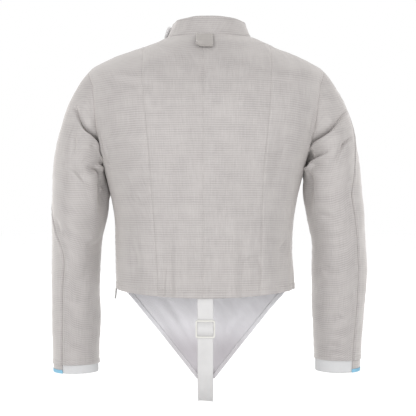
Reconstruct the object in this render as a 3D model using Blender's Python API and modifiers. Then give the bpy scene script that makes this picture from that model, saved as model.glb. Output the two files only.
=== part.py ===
"""Sabre fencing lame: a waist-length electric over-jacket, worn shape, held up by the wearer's shoulders.

Frame: metres, +Z up, +Y towards the wearer's front, +X towards the wearer's right hand.
The origin is the middle of the neck opening, level with the shoulder seams at the neck.

Every cloth piece is a wall between two sheets of points. The body is one form, cut along its seams:
a ring of the body is placed by its level, which is its height at the side, and a point on the ring by
its turn, the angle from the centre back (0) by the right side (90 degrees) to the centre front (180).
A sleeve is cut from one tube: a point is placed by its way down (0 armhole, 1 underarm ring, 2 wrist)
and by its turn round the arm (0 outside, 90 back, 180 against the body, 270 front).
"""

import math

import bmesh
import bpy
import numpy as np
from mathutils import Matrix, Vector

MM = 0.001

# ---------------------------------------------------------------- cloth and seams
LAME_WALL = 1.6 * MM  # lame with its turned seams
WHITE_WALL = 1.2 * MM  # groin cloth and cuffs
SEAM_GAP = 0.3 * MM
LAYER_GAP = 0.35 * MM  # between a panel and what lies on it
LONGEST_MITRE = 1.8  # half walls, where two pieces meet sharply
LEFT, RIGHT = -1, 1

# ---------------------------------------------------------------- the body's levels
HEM_LEVEL = -0.495
UNDERARM_LEVEL = -0.250
TIP_LEVEL = -0.059  # outer end of the shoulder seam
NECK_LEVEL = 0.002

BODY_COLUMNS = (
    "level", "back_z", "front_z", "centre_x", "half_width", "back_depth", "front_depth", "square",
)
BODY_RINGS = (
    (HEM_LEVEL, -0.507, -0.502, -0.0010, 0.1770, 0.106, 0.106, 2.30),
    (-0.420, -0.426, -0.425, -0.0030, 0.1745, 0.103, 0.108, 2.30),
    (-0.360, -0.364, -0.364, -0.0020, 0.1775, 0.106, 0.113, 2.30),
    (-0.305, -0.308, -0.309, -0.0030, 0.1870, 0.112, 0.119, 2.30),
    (UNDERARM_LEVEL, -0.253, -0.255, -0.0030, 0.2015, 0.118, 0.122, 2.30),
    (-0.200, -0.205, -0.208, -0.0010, 0.2240, 0.122, 0.118, 2.30),
    (-0.150, -0.158, -0.166, 0.0010, 0.2370, 0.120, 0.108, 2.30),
    (-0.100, -0.112, -0.128, 0.0020, 0.2380, 0.112, 0.094, 2.25),
    (TIP_LEVEL, -0.078, -0.098, 0.0020, 0.2250, 0.101, 0.080, 2.20),
    (-0.040, -0.060, -0.084, 0.0040, 0.1880, 0.094, 0.074, 2.10),
    (-0.020, -0.035, -0.067, 0.0065, 0.1370, 0.083, 0.067, 2.00),
    (-0.008, -0.016, -0.056, 0.0095, 0.1060, 0.074, 0.063, 2.00),
    (NECK_LEVEL, -0.003, -0.048, 0.0070, 0.0835, 0.066, 0.060, 2.00),
)

# ---------------------------------------------------------------- the body's seams
CENTRE_BACK_X = -0.004
SIDE_SEAM_TURN = 90.0  # at the underarm
SIDE_SEAM_TO_BACK = 7.0  # how far it has come round to the back at the hem, degrees
ARMHOLE_TO_BACK = 0.060  # depth of the armhole behind and before the shoulder seam
ARMHOLE_TO_FRONT = 0.064
ARMHOLE_STEPS = 10  # rows from the shoulder tip to the underarm
BODY_STEPS, SHOULDER_STEPS = 7, 3  # rows below the underarm and along the shoulder slope
SLOPE_ENDS_LEVEL = -0.022  # highest of the shoulder slope's rows
BLUNT_TIP = 1.2 * MM  # width of a side back panel's blunt corner at the shoulder seam

BACK_SEAM_COLUMNS = ("level", "left_x", "right_x")
BACK_SEAMS = (  # the two long seams from the shoulder to the hem
    (HEM_LEVEL, -0.0900, 0.1050),
    (-0.432, -0.0930, 0.1070),
    (-0.323, -0.1005, 0.1088),
    (-0.252, -0.1060, 0.1118),
    (-0.197, -0.1098, 0.1168),
    (-0.110, -0.1178, 0.1245),
    (-0.040, -0.1200, 0.1258),
    (NECK_LEVEL, -0.1200, 0.1258),
)
ZIP_COLUMNS = ("level", "x")
ZIP_LINE = (  # down the left front, from the collar to the hem at the left side
    (HEM_LEVEL, -0.1750),
    (-0.420, -0.1675),
    (-0.360, -0.1600),
    (-0.250, -0.1480),
    (-0.150, -0.1280),
    (TIP_LEVEL, -0.0930),
    (-0.020, -0.0700),
    (NECK_LEVEL, -0.0550),
)

# ---------------------------------------------------------------- collar
COLLAR_COLUMNS = (
    "up", "centre_x", "half_width", "back_depth", "front_depth", "back_z", "side_z", "front_z",
)
COLLAR_RINGS = (
    (0.0, 0.0070, 0.0835, 0.0660, 0.060, -0.003, NECK_LEVEL, -0.048),
    (0.5, 0.0070, 0.0775, 0.0615, 0.056, 0.017, 0.018, -0.028),
    (1.0, 0.0070, 0.0725, 0.0580, 0.053, 0.036, 0.031, -0.010),
)
FLAP_FROM, FLAP_TO = 206.0, 281.0  # closing flap, over the zip's top end, turn in degrees
FLAP_FREE_FROM = 245.0  # from here to its end it springs away from the collar
FLAP_BOTTOM, FLAP_TOP = 0.10, 0.86  # share of the collar's height
FLAP_STANDS_OFF = 5.0 * MM  # at its free end
FLAP_COLUMNS = 8

# ---------------------------------------------------------------- sleeves
CAP_END_Z = -0.300  # ring where the sleeve has turned down
BACK_SLEEVE_COLUMNS, FRONT_SLEEVE_COLUMNS = 12, 8  # 20 round the arm, as the armhole has
CAP_WAYS = (0.0, 0.10, 0.22, 0.34, 0.46, 0.58, 0.70, 0.82)  # the cap's rows, close at the armhole
TUBE_STEPS = 9
TUBE_COLUMNS = ("z", "left_out", "left_in", "right_out", "right_in", "centre_y", "half_depth")
TUBE_RINGS = (
    (-0.700, 0.3095, 0.2170, 0.3140, 0.2225, 0.040, 0.0410),
    (-0.640, 0.3095, 0.2170, 0.3150, 0.2220, 0.033, 0.0420),
    (-0.560, 0.3100, 0.2140, 0.3190, 0.2180, 0.023, 0.0460),
    (-0.500, 0.3085, 0.2140, 0.3220, 0.2160, 0.016, 0.0500),
    (-0.450, 0.3075, 0.2130, 0.3225, 0.2150, 0.010, 0.0530),
    (-0.400, 0.3065, 0.2075, 0.3190, 0.2130, 0.006, 0.0570),
    (-0.350, 0.3060, 0.1965, 0.3165, 0.2030, 0.002, 0.0610),
    (CAP_END_Z, 0.3055, 0.1938, 0.3110, 0.1960, 0.000, 0.0640),
    (-0.280, 0.3050, 0.1938, 0.3100, 0.1960, 0.000, 0.0650),
)
WRIST_Z = {LEFT: -0.650, RIGHT: -0.641}
CUFF_BOTTOM_Z = {LEFT: -0.668, RIGHT: -0.666}
CUFF_TUCK = 5.0 * MM  # the cuff starts this far up inside the sleeve
TOP_LEAVES = {LEFT: 48.0, RIGHT: 44.0}  # slope of the sleeve below level at the top of the armhole
UNDERARM_LEAVES = 54.0  # and at the underarm
BACK_SWELL = 0.32  # how far the cap leans out backwards and forwards
SEAM_TURN_COLUMNS = ("way", "left", "right", "inner")
SLEEVE_SEAMS = (  # turn of the outer and inner seam, degrees
    (0.00, 0.0, 0.0, 216.0),
    (0.50, -6.0, 20.0, 212.0),
    (0.85, -4.0, 46.0, 208.0),
    (1.05, 4.0, 57.0, 206.0),
    (1.20, 34.0, 56.0, 204.0),
    (1.36, 66.0, 54.0, 204.0),
    (1.60, 65.0, 52.0, 204.0),
    (2.00, 60.0, 57.0, 204.0),
)
CUFF_STRIP_TO_FRONT = -30.0  # front edge of the lame strip that crosses the cuff, turn in degrees
CUFF_STRIP_COLUMNS = 5
CUFF_TRIM_HEIGHT = 7.0 * MM

# ---------------------------------------------------------------- folds
FOLD_FADE_IN = 0.4  # share of its depth at its first point
FOLD_FADE_OUT = 0.45  # share of its length over which its last end fades, some of it past the point
FOLD_FACES = 0.5  # how squarely the cloth faces back or front before the fold is at full depth
FOLD_COLUMNS = ("where", "x0", "z0", "x1", "z1", "width", "depth")
FOLDS = (  # the deep drag folds that run from the underarm out over the back of each sleeve
    ("left_back", -0.190, -0.243, -0.250, -0.141, 0.0120, 0.0085),
    ("right_back", 0.204, -0.216, 0.262, -0.154, 0.0120, 0.0085),
    ("right_back", 0.196, -0.262, 0.232, -0.229, 0.0110, 0.0065),
    ("left_front", -0.206, -0.225, -0.258, -0.160, 0.0120, 0.0070),
    ("right_front", 0.206, -0.225, 0.258, -0.165, 0.0120, 0.0070),
)

# ---------------------------------------------------------------- groin cloth, strap, buckle
GROIN_TOP_HALF = 0.1725
GROIN_END_HALF = 0.0190
GROIN_END_Z = -0.695
GROIN_LEAN = 0.011  # its end is this much nearer the body
GROIN_ROWS, GROIN_COLUMNS = 7, 9
GROIN_HEM_STARTS = 3.0 * MM  # below the front hem
GROIN_HEM_WIDTH = 10.0 * MM
STRAP_WIDTH = 30.0 * MM
STRAP_WALL = 1.4 * MM
BUCKLE_Z = -0.5650
BUCKLE_WIDTH, BUCKLE_HEIGHT, BUCKLE_WALL = 37.0 * MM, 34.0 * MM, 2.6 * MM
BUCKLE_BAR, BUCKLE_SIDE = 3.4 * MM, 2.6 * MM  # its three bars and its two sides
BUCKLE_CORNER, BUCKLE_SLOT_CORNER = 4.0 * MM, 1.0 * MM
BUCKLE_Y = -0.1030
STRAP_OFF_BAR = BUCKLE_WALL / 2 + LAYER_GAP + STRAP_WALL / 2
STRAP_ROUTE = (  # y, z along the strap's middle, from inside the back hem to the groin cloth's end
    (-0.1022, -0.4880),
    (-0.1018, -0.5080),
    (BUCKLE_Y + STRAP_OFF_BAR, BUCKLE_Z + BUCKLE_HEIGHT / 2 + 0.001),
    (BUCKLE_Y + STRAP_OFF_BAR, BUCKLE_Z + BUCKLE_HEIGHT / 2 - BUCKLE_BAR),
    (BUCKLE_Y - STRAP_OFF_BAR, BUCKLE_Z + BUCKLE_BAR * 0.9),
    (BUCKLE_Y - STRAP_OFF_BAR, BUCKLE_Z - BUCKLE_BAR * 0.9),
    (BUCKLE_Y + STRAP_OFF_BAR, BUCKLE_Z - BUCKLE_HEIGHT / 2 + BUCKLE_BAR),
    (BUCKLE_Y + STRAP_OFF_BAR, BUCKLE_Z - BUCKLE_HEIGHT / 2 - 0.001),
    (-0.0965, -0.6100),
    (-0.0820, -0.6540),
    (-0.0500, -0.6950),
    (-0.0080, -0.7220),
    (0.0360, -0.7270),
    (0.0700, -0.7160),
    (0.0860, -0.6980),
    (0.0882, -0.6750),
)

# ---------------------------------------------------------------- wire tab at the nape
TAB_WIDTH, TAB_DROP = 35.0 * MM, 32.0 * MM
TAB_WALL = 1.4 * MM
TAB_STARTS = 1.5 * MM  # below the collar seam
TAB_OFF_BACK = 2.05 * MM  # its inner leg's middle over the collar seam's level
TAB_LEGS_APART = (2.5 * MM, 4.0 * MM)  # between its legs' middles, at its top and at its fold
TAB_CENTRE_X = -0.001
TAB_SLOPE = 33.0  # the upper back's slope from upright, degrees

# ---------------------------------------------------------------- zip
CHAIN_SHOWS = 9.0 * MM  # between the two panel edges
CHAIN_WIDTH, CHAIN_WALL = 5.0 * MM, 2.2 * MM
CHAIN_STARTS = 1.2 * MM  # above the slider, where the slider's mouth hides it
TAPE_WIDTH, TAPE_WALL = 28.0 * MM, 1.0 * MM
TAPE_STOPS = 2.0 * MM  # below the collar seam
SLIDER_LEVEL = -0.4860
SLIDER_LENGTH, SLIDER_WIDTH, SLIDER_WALL = 11.0 * MM, 7.2 * MM, 4.4 * MM
SLIDER_BEVEL = 0.7 * MM
LUG_LENGTH, LUG_HEIGHT, LUG_WALL = 6.4 * MM, 5.0 * MM, 1.2 * MM
LUG_SINKS = 0.6 * MM  # into the slider's body
LUG_DROP = 1.6 * MM  # below the slider's middle
LUG_HOLE = 3.2 * MM
LUG_OVER_HOLE = 1.1 * MM
LUG_EYE = LUG_HEIGHT - LUG_OVER_HOLE - LUG_HOLE / 2  # the hole's middle over the slider
LUG_CORNER, LUG_HOLE_CORNER = 1.6 * MM, 1.1 * MM
PULL_LENGTH, PULL_WIDTH, PULL_WALL = 34.0 * MM, 7.0 * MM, 1.6 * MM
PULL_BAR = 1.4 * MM  # cross bar at the pull's top, in the lug's hole
PULL_WINDOW = (3.8 * MM, 5.2 * MM)  # width and height; the lug passes through it
PULL_GRIP = (3.2 * MM, 8.0 * MM)  # the slot near its lower end
PULL_CORNER, PULL_WINDOW_CORNER, PULL_GRIP_CORNER = 2.0 * MM, 0.6 * MM, 1.2 * MM

COLOURS = {  # base colour, roughness, metallic
    "lame_cloth": ((0.560, 0.530, 0.510), 0.55, 0.25),
    "white_cloth": ((0.780, 0.770, 0.790), 0.80, 0.0),
    "white_webbing": ((0.820, 0.810, 0.800), 0.75, 0.0),
    "cuff_knit": ((0.760, 0.760, 0.770), 0.85, 0.0),
    "blue_trim": ((0.300, 0.660, 0.830), 0.70, 0.0),
    "ivory_plastic": ((0.850, 0.840, 0.790), 0.40, 0.0),
    "zip_tape": ((0.600, 0.590, 0.580), 0.80, 0.0),
    "zip_metal": ((0.550, 0.550, 0.560), 0.35, 1.0),
}


class Table:
    """Named columns over rows; `at` reads a column on a smooth curve through the rows."""

    def __init__(self, names, rows):
        rows = sorted(rows)
        self.columns = {name: np.array([row[i] for row in rows]) for i, name in enumerate(names)}
        self.key = self.columns[names[0]]

    def at(self, name, where):
        keys, values = self.key, self.columns[name]
        slopes = np.gradient(values, keys)
        where = np.clip(np.asarray(where, float), keys[0], keys[-1])
        i = np.clip(np.searchsorted(keys, where, side="right") - 1, 0, len(keys) - 2)
        span = keys[i + 1] - keys[i]
        t = (where - keys[i]) / span
        return (
            values[i] * (1 + 2 * t) * (1 - t) ** 2
            + values[i + 1] * t * t * (3 - 2 * t)
            + span * (slopes[i] * t * (1 - t) ** 2 - slopes[i + 1] * t * t * (1 - t))
        )


BODY = Table(BODY_COLUMNS, BODY_RINGS)
BACK_SEAM = Table(BACK_SEAM_COLUMNS, BACK_SEAMS)
ZIP = Table(ZIP_COLUMNS, ZIP_LINE)
COLLAR = Table(COLLAR_COLUMNS, COLLAR_RINGS)
TUBE = Table(TUBE_COLUMNS, TUBE_RINGS)
SLEEVE_SEAM = Table(SEAM_TURN_COLUMNS, SLEEVE_SEAMS)


# ---------------------------------------------------------------- small vector helpers
def unit(vectors):
    length = np.linalg.norm(vectors, axis=-1, keepdims=True)
    return vectors / np.maximum(length, 1e-12)


def smooth(t):
    t = np.clip(t, 0.0, 1.0)
    return t * t * (3 - 2 * t)


def between(a, b, share):
    return a + (b - a) * share


def normals_of(surface, u, v, step_u, step_v, v_low, v_high):
    """Unit normals of a surface(u, v), from small steps that stay between v_low and v_high."""
    along_u = surface(u + step_u, v) - surface(u - step_u, v)
    v_up, v_down = np.minimum(v + step_v, v_high), np.maximum(v - step_v, v_low)
    along_v = surface(u, v_up) - surface(u, v_down)
    return unit(np.cross(along_u, along_v))


# ---------------------------------------------------------------- the body form
def ring_shares(turn, square):
    """Across and deep shares, -1 to 1, of a rounded-square ring at an angle from the centre back."""
    s, c = np.sin(turn), np.cos(turn)
    reach = (np.abs(s) ** square + np.abs(c) ** square) ** (1.0 / square)
    return s / reach, c / reach


def turn_of_share(share, square):
    """Angle from the centre back at which the across share is reached, between -90 and 90 degrees."""
    share = np.clip(share, -1.0, 1.0)
    rest = np.maximum(1.0 - np.abs(share) ** square, 0.0) ** (1.0 / square)
    return np.arctan2(share, rest)


def body_form(turn, level):
    across, deep = ring_shares(turn, BODY.at("square", level))
    depth = np.where(deep > 0, BODY.at("back_depth", level), BODY.at("front_depth", level))
    middle_z = np.where(deep > 0, BODY.at("back_z", level), BODY.at("front_z", level))
    x = BODY.at("centre_x", level) + BODY.at("half_width", level) * across
    y = -depth * deep
    z = level + (middle_z - level) * np.cos(turn) ** 2
    return np.stack(np.broadcast_arrays(x, y, z), axis=-1)


def body_normals(turn, level):
    return normals_of(body_form, turn, level, 1e-3, 5e-4, HEM_LEVEL, NECK_LEVEL)


# ---------------------------------------------------------------- seam lines on the body, as turns
def across_turn(x, level):
    share = (x - BODY.at("centre_x", level)) / BODY.at("half_width", level)
    return turn_of_share(share, BODY.at("square", level))


def side_seam(level):
    down = smooth((UNDERARM_LEVEL - level) / (UNDERARM_LEVEL - HEM_LEVEL))
    return np.radians(SIDE_SEAM_TURN - SIDE_SEAM_TO_BACK * down)


def arm_turn_of(level):
    """Turn round the arm, 0 at the shoulder tip to 180 degrees at the underarm, of an armhole level."""
    middle, half = (TIP_LEVEL + UNDERARM_LEVEL) / 2, (TIP_LEVEL - UNDERARM_LEVEL) / 2
    return np.arccos(np.clip((level - middle) / half, -1.0, 1.0))


def armhole_turn(level, reach, depth_column):
    """How far an armhole's edge stands from the centre back or centre front, as an angle."""
    deep = reach * np.sin(arm_turn_of(level)) / BODY.at(depth_column, level)
    square = BODY.at("square", level)
    across = (1.0 - np.clip(deep, 0.0, 1.0) ** square) ** (1.0 / square)
    return np.arctan2(across, deep)


def outer_edge(level, armhole):
    """Side seam, then armhole, then shoulder seam, on the right: turn at each level."""
    above = np.where(level >= TIP_LEVEL, math.pi / 2, armhole)
    return np.where(level <= UNDERARM_LEVEL, side_seam(level), above)


def outer_edge_of_back(level):
    return outer_edge(level, armhole_turn(level, ARMHOLE_TO_BACK, "back_depth"))


def outer_edge_of_front(level):
    return outer_edge(level, math.pi - armhole_turn(level, ARMHOLE_TO_FRONT, "front_depth"))


def long_seam(side, level):
    """Turn of the seam from the shoulder to the hem; past the shoulder it follows the shoulder seam."""
    turn = np.abs(across_turn(BACK_SEAM.at("left_x" if side == LEFT else "right_x", level), level))
    below_shoulder = np.minimum(turn, math.pi / 2 - BLUNT_TIP / BODY.at("back_depth", level))
    return side * np.where(level <= SHOULDER_LEVEL[side], below_shoulder, math.pi / 2)


def centre_back(level):
    return across_turn(CENTRE_BACK_X, level)


def zip_turn(level, aside=0.0):
    """Turn of the zip line, past 180 degrees; aside moves it along the cloth."""
    turn = math.pi - across_turn(ZIP.at("x", level), level)
    step = body_form(turn + 1e-3, level) - body_form(turn - 1e-3, level)
    return turn + aside * 2e-3 / np.linalg.norm(step, axis=-1)


def shoulder_level(side):
    """Level at which the long seam meets the shoulder seam."""
    low, high = TIP_LEVEL, NECK_LEVEL
    name = "left_x" if side == LEFT else "right_x"
    for _ in range(40):
        level = (low + high) / 2
        edge = BODY.at("centre_x", level) + side * BODY.at("half_width", level)
        if side * (edge - BACK_SEAM.at(name, level)) > 0:
            low = level
        else:
            high = level
    return level


SHOULDER_LEVEL = {side: shoulder_level(side) for side in (LEFT, RIGHT)}


def body_levels():
    """Levels of the rows that all the body's panels share."""
    below = np.linspace(HEM_LEVEL, UNDERARM_LEVEL, BODY_STEPS + 1)[:-1]
    middle, half = (TIP_LEVEL + UNDERARM_LEVEL) / 2, (TIP_LEVEL - UNDERARM_LEVEL) / 2
    armhole = middle + half * np.cos(np.linspace(math.pi, 0, ARMHOLE_STEPS + 1))
    slope = np.linspace(TIP_LEVEL, SLOPE_ENDS_LEVEL, SHOULDER_STEPS + 1)[1:]
    top = [*sorted(SHOULDER_LEVEL.values()), NECK_LEVEL]
    return np.concatenate([below, armhole, slope, top])


# ---------------------------------------------------------------- the sleeve form
def armhole_point(side, arm_turn):
    """Point of the armhole at a turn round the arm."""
    arm_turn = np.mod(arm_turn, 2 * math.pi)
    middle, half = (TIP_LEVEL + UNDERARM_LEVEL) / 2, (TIP_LEVEL - UNDERARM_LEVEL) / 2
    level = middle + half * np.cos(arm_turn)
    at_back = np.sin(arm_turn) >= 0
    turn = np.where(
        at_back,
        armhole_turn(level, ARMHOLE_TO_BACK, "back_depth"),
        math.pi - armhole_turn(level, ARMHOLE_TO_FRONT, "front_depth"),
    )
    return body_form(side * turn, level), side * turn, level


def tube_point(side, arm_turn, z):
    name = "left" if side == LEFT else "right"
    outer, inner = TUBE.at(name + "_out", z), TUBE.at(name + "_in", z)
    x = side * ((outer + inner) / 2 + (outer - inner) / 2 * np.cos(arm_turn))
    y = TUBE.at("centre_y", z) - TUBE.at("half_depth", z) * np.sin(arm_turn)
    return np.stack(np.broadcast_arrays(x, y, z), axis=-1)


def sleeve_form(side):
    """The sleeve's surface: from the armhole each line curves down into the tube, then follows it."""

    def form(arm_turn, way):
        arm_turn, way = np.broadcast_arrays(np.asarray(arm_turn, float), np.asarray(way, float))
        start, _, _ = armhole_point(side, arm_turn)
        cap_end = np.full_like(arm_turn, CAP_END_Z)
        end = tube_point(side, arm_turn, cap_end)
        chord = np.linalg.norm(end - start, axis=-1, keepdims=True)
        under = (1 - np.cos(arm_turn)) / 2
        slope = np.radians(between(TOP_LEAVES[side], UNDERARM_LEAVES, under))
        swell = -BACK_SWELL * np.sin(arm_turn)
        leaves = unit(np.stack([side * np.cos(slope), swell, -np.sin(slope)], axis=-1))
        arrives = unit(tube_point(side, arm_turn, cap_end - 0.01) - end)
        t = np.clip(way, 0.0, 1.0)[..., None]
        cap = (
            start * (1 + 2 * t) * (1 - t) ** 2
            + end * t * t * (3 - 2 * t)
            + chord * (leaves * t * (1 - t) ** 2 - arrives * t * t * (1 - t))
        )
        z = between(CAP_END_Z, WRIST_Z[side], np.maximum(way - 1.0, 0.0))
        tube = tube_point(side, arm_turn, z)
        return np.where((way > 1.0)[..., None], tube, cap)

    return form


def sleeve_normals(side, arm_turn, way):
    return side * normals_of(sleeve_form(side), arm_turn, way, 2e-3, 2e-3, 0.0, 2.2)


def mitre(one, other):
    """Half-way direction between two pieces' normals at their seam, longer where they meet sharply."""
    middle = unit(one + other)
    agree = np.sum(middle * one, axis=-1, keepdims=True)
    return middle / np.maximum(agree, 1.0 / LONGEST_MITRE)


def armhole_normals(side, arm_turn):
    _, turn, level = armhole_point(side, arm_turn)
    return mitre(body_normals(turn, level), sleeve_normals(side, arm_turn, np.zeros_like(arm_turn)))


# ---------------------------------------------------------------- the collar form
def collar_form(turn, up):
    across, deep = ring_shares(turn, 2.0)
    depth = np.where(deep > 0, COLLAR.at("back_depth", up), COLLAR.at("front_depth", up))
    middle_z = np.where(deep > 0, COLLAR.at("back_z", up), COLLAR.at("front_z", up))
    side_z = COLLAR.at("side_z", up)
    x = COLLAR.at("centre_x", up) + COLLAR.at("half_width", up) * across
    z = side_z + (middle_z - side_z) * np.cos(turn) ** 2
    return np.stack(np.broadcast_arrays(x, -depth * deep, z), axis=-1)


def collar_normals(turn, up):
    return normals_of(collar_form, turn, up, 2e-3, 2e-2, 0.0, 1.0)


def neck_normals(turn):
    level, up = np.full_like(turn, NECK_LEVEL), np.zeros_like(turn)
    return mitre(body_normals(turn, level), collar_normals(turn, up))


# ---------------------------------------------------------------- folds
def fold_depth(points, normals, where):
    """How far a point sinks into the folds of one area, which are drawn in the front view's plane."""
    sunk = np.zeros(points.shape[:-1])
    for name, x0, z0, x1, z1, width, depth in FOLDS:
        if name != where:
            continue
        start, run = np.array([x0, z0]), np.array([x1 - x0, z1 - z0])
        away = points[..., [0, 2]] - start
        share = away @ run / (run @ run)
        off = np.linalg.norm(away - np.clip(share, 0, 1)[..., None] * run, axis=-1)
        starts = smooth(share / 0.15 + FOLD_FADE_IN)
        ends = smooth((1.15 - share) / FOLD_FADE_OUT)
        sunk += depth * starts * ends * np.exp(-((off / width) ** 2))
    facing = -normals[..., 1] if where.endswith("back") else normals[..., 1]
    return sunk * smooth(facing / FOLD_FACES)


# ---------------------------------------------------------------- walls
def inward(edge, next_line):
    """Directions from an edge towards the sheet's next line of points, square to the edge."""
    along = unit(np.gradient(edge, axis=0))
    across = next_line - edge
    return unit(across - along * np.sum(across * along, axis=-1, keepdims=True))


def trimmed(points, gaps):
    """Draws a sheet's edges in by the gaps (first row, last row, first column, last column)."""
    first, last, left, right = gaps
    moved = points.copy()
    moved[0] += inward(points[0], points[1]) * first
    moved[-1] += inward(points[-1], points[-2]) * last
    moved[:, 0] += inward(points[:, 0], points[:, 1]) * left
    moved[:, -1] += inward(points[:, -1], points[:, -2]) * right
    return moved


def new_object(name, mesh, finish):
    obj = bpy.data.objects.new(name, mesh)
    obj.data.materials.clear()
    obj.data.materials.append(bpy.data.materials[finish])
    bpy.data.collections["fencing_lame"].objects.link(obj)
    return obj


def cells(points, normals, round_piece):
    """Two triangles for each cell of a sheet, split along the diagonal that bulges outwards most."""
    rows, columns = points.shape[:2]
    last = columns if round_piece else columns - 1
    j, i = (part.ravel() for part in np.mgrid[0 : rows - 1, 0:last])
    a, b = j * columns + i, j * columns + (i + 1) % columns
    d, c = a + columns, b + columns
    spots, facing = points.reshape(-1, 3), normals.reshape(-1, 3)
    bulge = np.sum((spots[a] + spots[c] - spots[b] - spots[d]) * facing[a], axis=1) > 0
    first = np.where(bulge[:, None], np.stack([a, b, c], 1), np.stack([a, b, d], 1))
    second = np.where(bulge[:, None], np.stack([a, c, d], 1), np.stack([b, c, d], 1))
    return np.concatenate([first, second])


def wall(name, points, normals, thickness, finish, round_piece=False):
    """A closed cloth wall about a sheet of points. Its rim is mitred along the normals, which two
    pieces share at a seam; Solidify would make them cross there. Round pieces close on themselves."""
    rows, columns = points.shape[:2]
    last = columns if round_piece else columns - 1
    facing = np.cross(points[0, 1] - points[0, 0], points[1, 0] - points[0, 0]) @ normals[0, 0]
    order = 1 if facing > 0 else -1
    outside = (points + normals * thickness / 2).reshape(-1, 3)
    inside = (points - normals * thickness / 2).reshape(-1, 3)
    behind = rows * columns
    skin = cells(points, normals, round_piece)
    faces = [corners[::order] for corners in skin.tolist()]
    faces += [corners[::-order] for corners in (skin + behind).tolist()]
    top = (rows - 1) * columns
    rim = [(i, (i + 1) % columns, order) for i in range(last)]
    rim += [(top + i, top + (i + 1) % columns, -order) for i in range(last)]
    if not round_piece:
        rim += [(j * columns, (j + 1) * columns, -order) for j in range(rows - 1)]
        rim += [(j * columns + last, (j + 1) * columns + last, order) for j in range(rows - 1)]
    for start, end, turned in rim:
        faces.append([end, start, end + behind][::turned])
        faces.append([start, start + behind, end + behind][::turned])
    mesh = bpy.data.meshes.new(name)
    mesh.from_pydata(np.concatenate([outside, inside]).tolist(), [], faces)
    mesh.update()
    return new_object(name, mesh, finish)


def layer(points, normals, out):
    """A sheet moved out along its normals."""
    return points + normals * np.asarray(out)[..., None]


# ---------------------------------------------------------------- body panels
def back_edge_left(level):
    return -outer_edge_of_back(level)


def long_seam_left(level):
    return long_seam(LEFT, level)


def long_seam_right(level):
    return long_seam(RIGHT, level)


def zip_edge_right(level):
    return zip_turn(level, -CHAIN_SHOWS / 2)


def zip_edge_left(level):
    return zip_turn(level, CHAIN_SHOWS / 2)


def front_edge_left(level):
    return 2 * math.pi - outer_edge_of_front(level)


PANELS = {  # left edge, right edge, columns, what the two edges meet
    "back_left": (long_seam_left, centre_back, 5, ("seam", "seam")),
    "back_right": (centre_back, long_seam_right, 6, ("seam", "seam")),
    "side_back_left": (back_edge_left, long_seam_left, 4, ("arm_left_back", "seam")),
    "side_back_right": (long_seam_right, outer_edge_of_back, 4, ("seam", "arm_right_back")),
    "front_right": (outer_edge_of_front, zip_edge_right, 12, ("arm_right_front", "zip")),
    "front_left": (zip_edge_left, front_edge_left, 4, ("zip", "arm_left_front")),
}


def panel_turns(name, levels):
    left_edge, right_edge, columns, _ = PANELS[name]
    share = np.linspace(0.0, 1.0, columns + 1)[None, :]
    return between(left_edge(levels)[:, None], right_edge(levels)[:, None], share)


def body_panel(name, levels):
    seams = PANELS[name][3]
    turn = panel_turns(name, levels)
    level = np.repeat(levels[:, None], turn.shape[1], axis=1)
    points, normals = body_form(turn, level), body_normals(turn, level)
    at_armhole = (levels >= UNDERARM_LEVEL - 1e-9) & (levels <= TIP_LEVEL + 1e-9)
    for column, edge in ((0, seams[0]), (-1, seams[1])):
        if not edge.startswith("arm"):
            continue
        side = RIGHT if "right" in edge else LEFT
        arm_turn = arm_turn_of(levels[at_armhole])
        arm_turn = arm_turn if edge.endswith("back") else 2 * math.pi - arm_turn
        normals[at_armhole, column] = armhole_normals(side, arm_turn)
    if levels[-1] == NECK_LEVEL:
        normals[-1] = neck_normals(turn[-1])
    half = SEAM_GAP / 2
    points = trimmed(points, (0.0, half if levels[-1] == NECK_LEVEL else SEAM_GAP, half, half))
    return wall(name, points, normals, LAME_WALL, "lame_cloth")


def make_body():
    levels = body_levels()
    for name in PANELS:
        top = NECK_LEVEL
        if name.startswith("side_back"):
            top = SHOULDER_LEVEL[LEFT if name.endswith("left") else RIGHT]
        body_panel(name, levels[levels <= top])


# ---------------------------------------------------------------- collar and its flap
def make_collar():
    neck = {name: panel_turns(name, np.array([NECK_LEVEL]))[0] for name in PANELS}
    others = [neck[name][1:] for name in ("back_left", "back_right", "front_right")]
    turns = np.concatenate([neck["front_left"] - 2 * math.pi, *others])
    up = np.array([0.0, 0.5, 1.0])
    turn, height = np.meshgrid(turns, up)
    points, normals = collar_form(turn, height), collar_normals(turn, height)
    normals[0] = neck_normals(turns)
    points = trimmed(points, (SEAM_GAP / 2, 0.0, 0.0, 0.0))
    wall("collar", points, normals, LAME_WALL, "lame_cloth")

    turns = np.radians(np.linspace(FLAP_FROM, FLAP_TO, FLAP_COLUMNS + 1))
    turn, height = np.meshgrid(turns, np.linspace(FLAP_BOTTOM, FLAP_TOP, 3))
    points, normals = collar_form(turn, height), collar_normals(turn, height)
    free = smooth((np.degrees(turn) - FLAP_FREE_FROM) / (FLAP_TO - FLAP_FREE_FROM))
    out = LAME_WALL + 2 * LAYER_GAP + FLAP_STANDS_OFF * free
    wall("collar_flap", layer(points, normals, out), normals, LAME_WALL, "lame_cloth")


# ---------------------------------------------------------------- sleeves and cuffs
def sleeve_ways():
    return np.concatenate([CAP_WAYS, np.linspace(1.0, 2.0, TUBE_STEPS + 1)])


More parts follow.
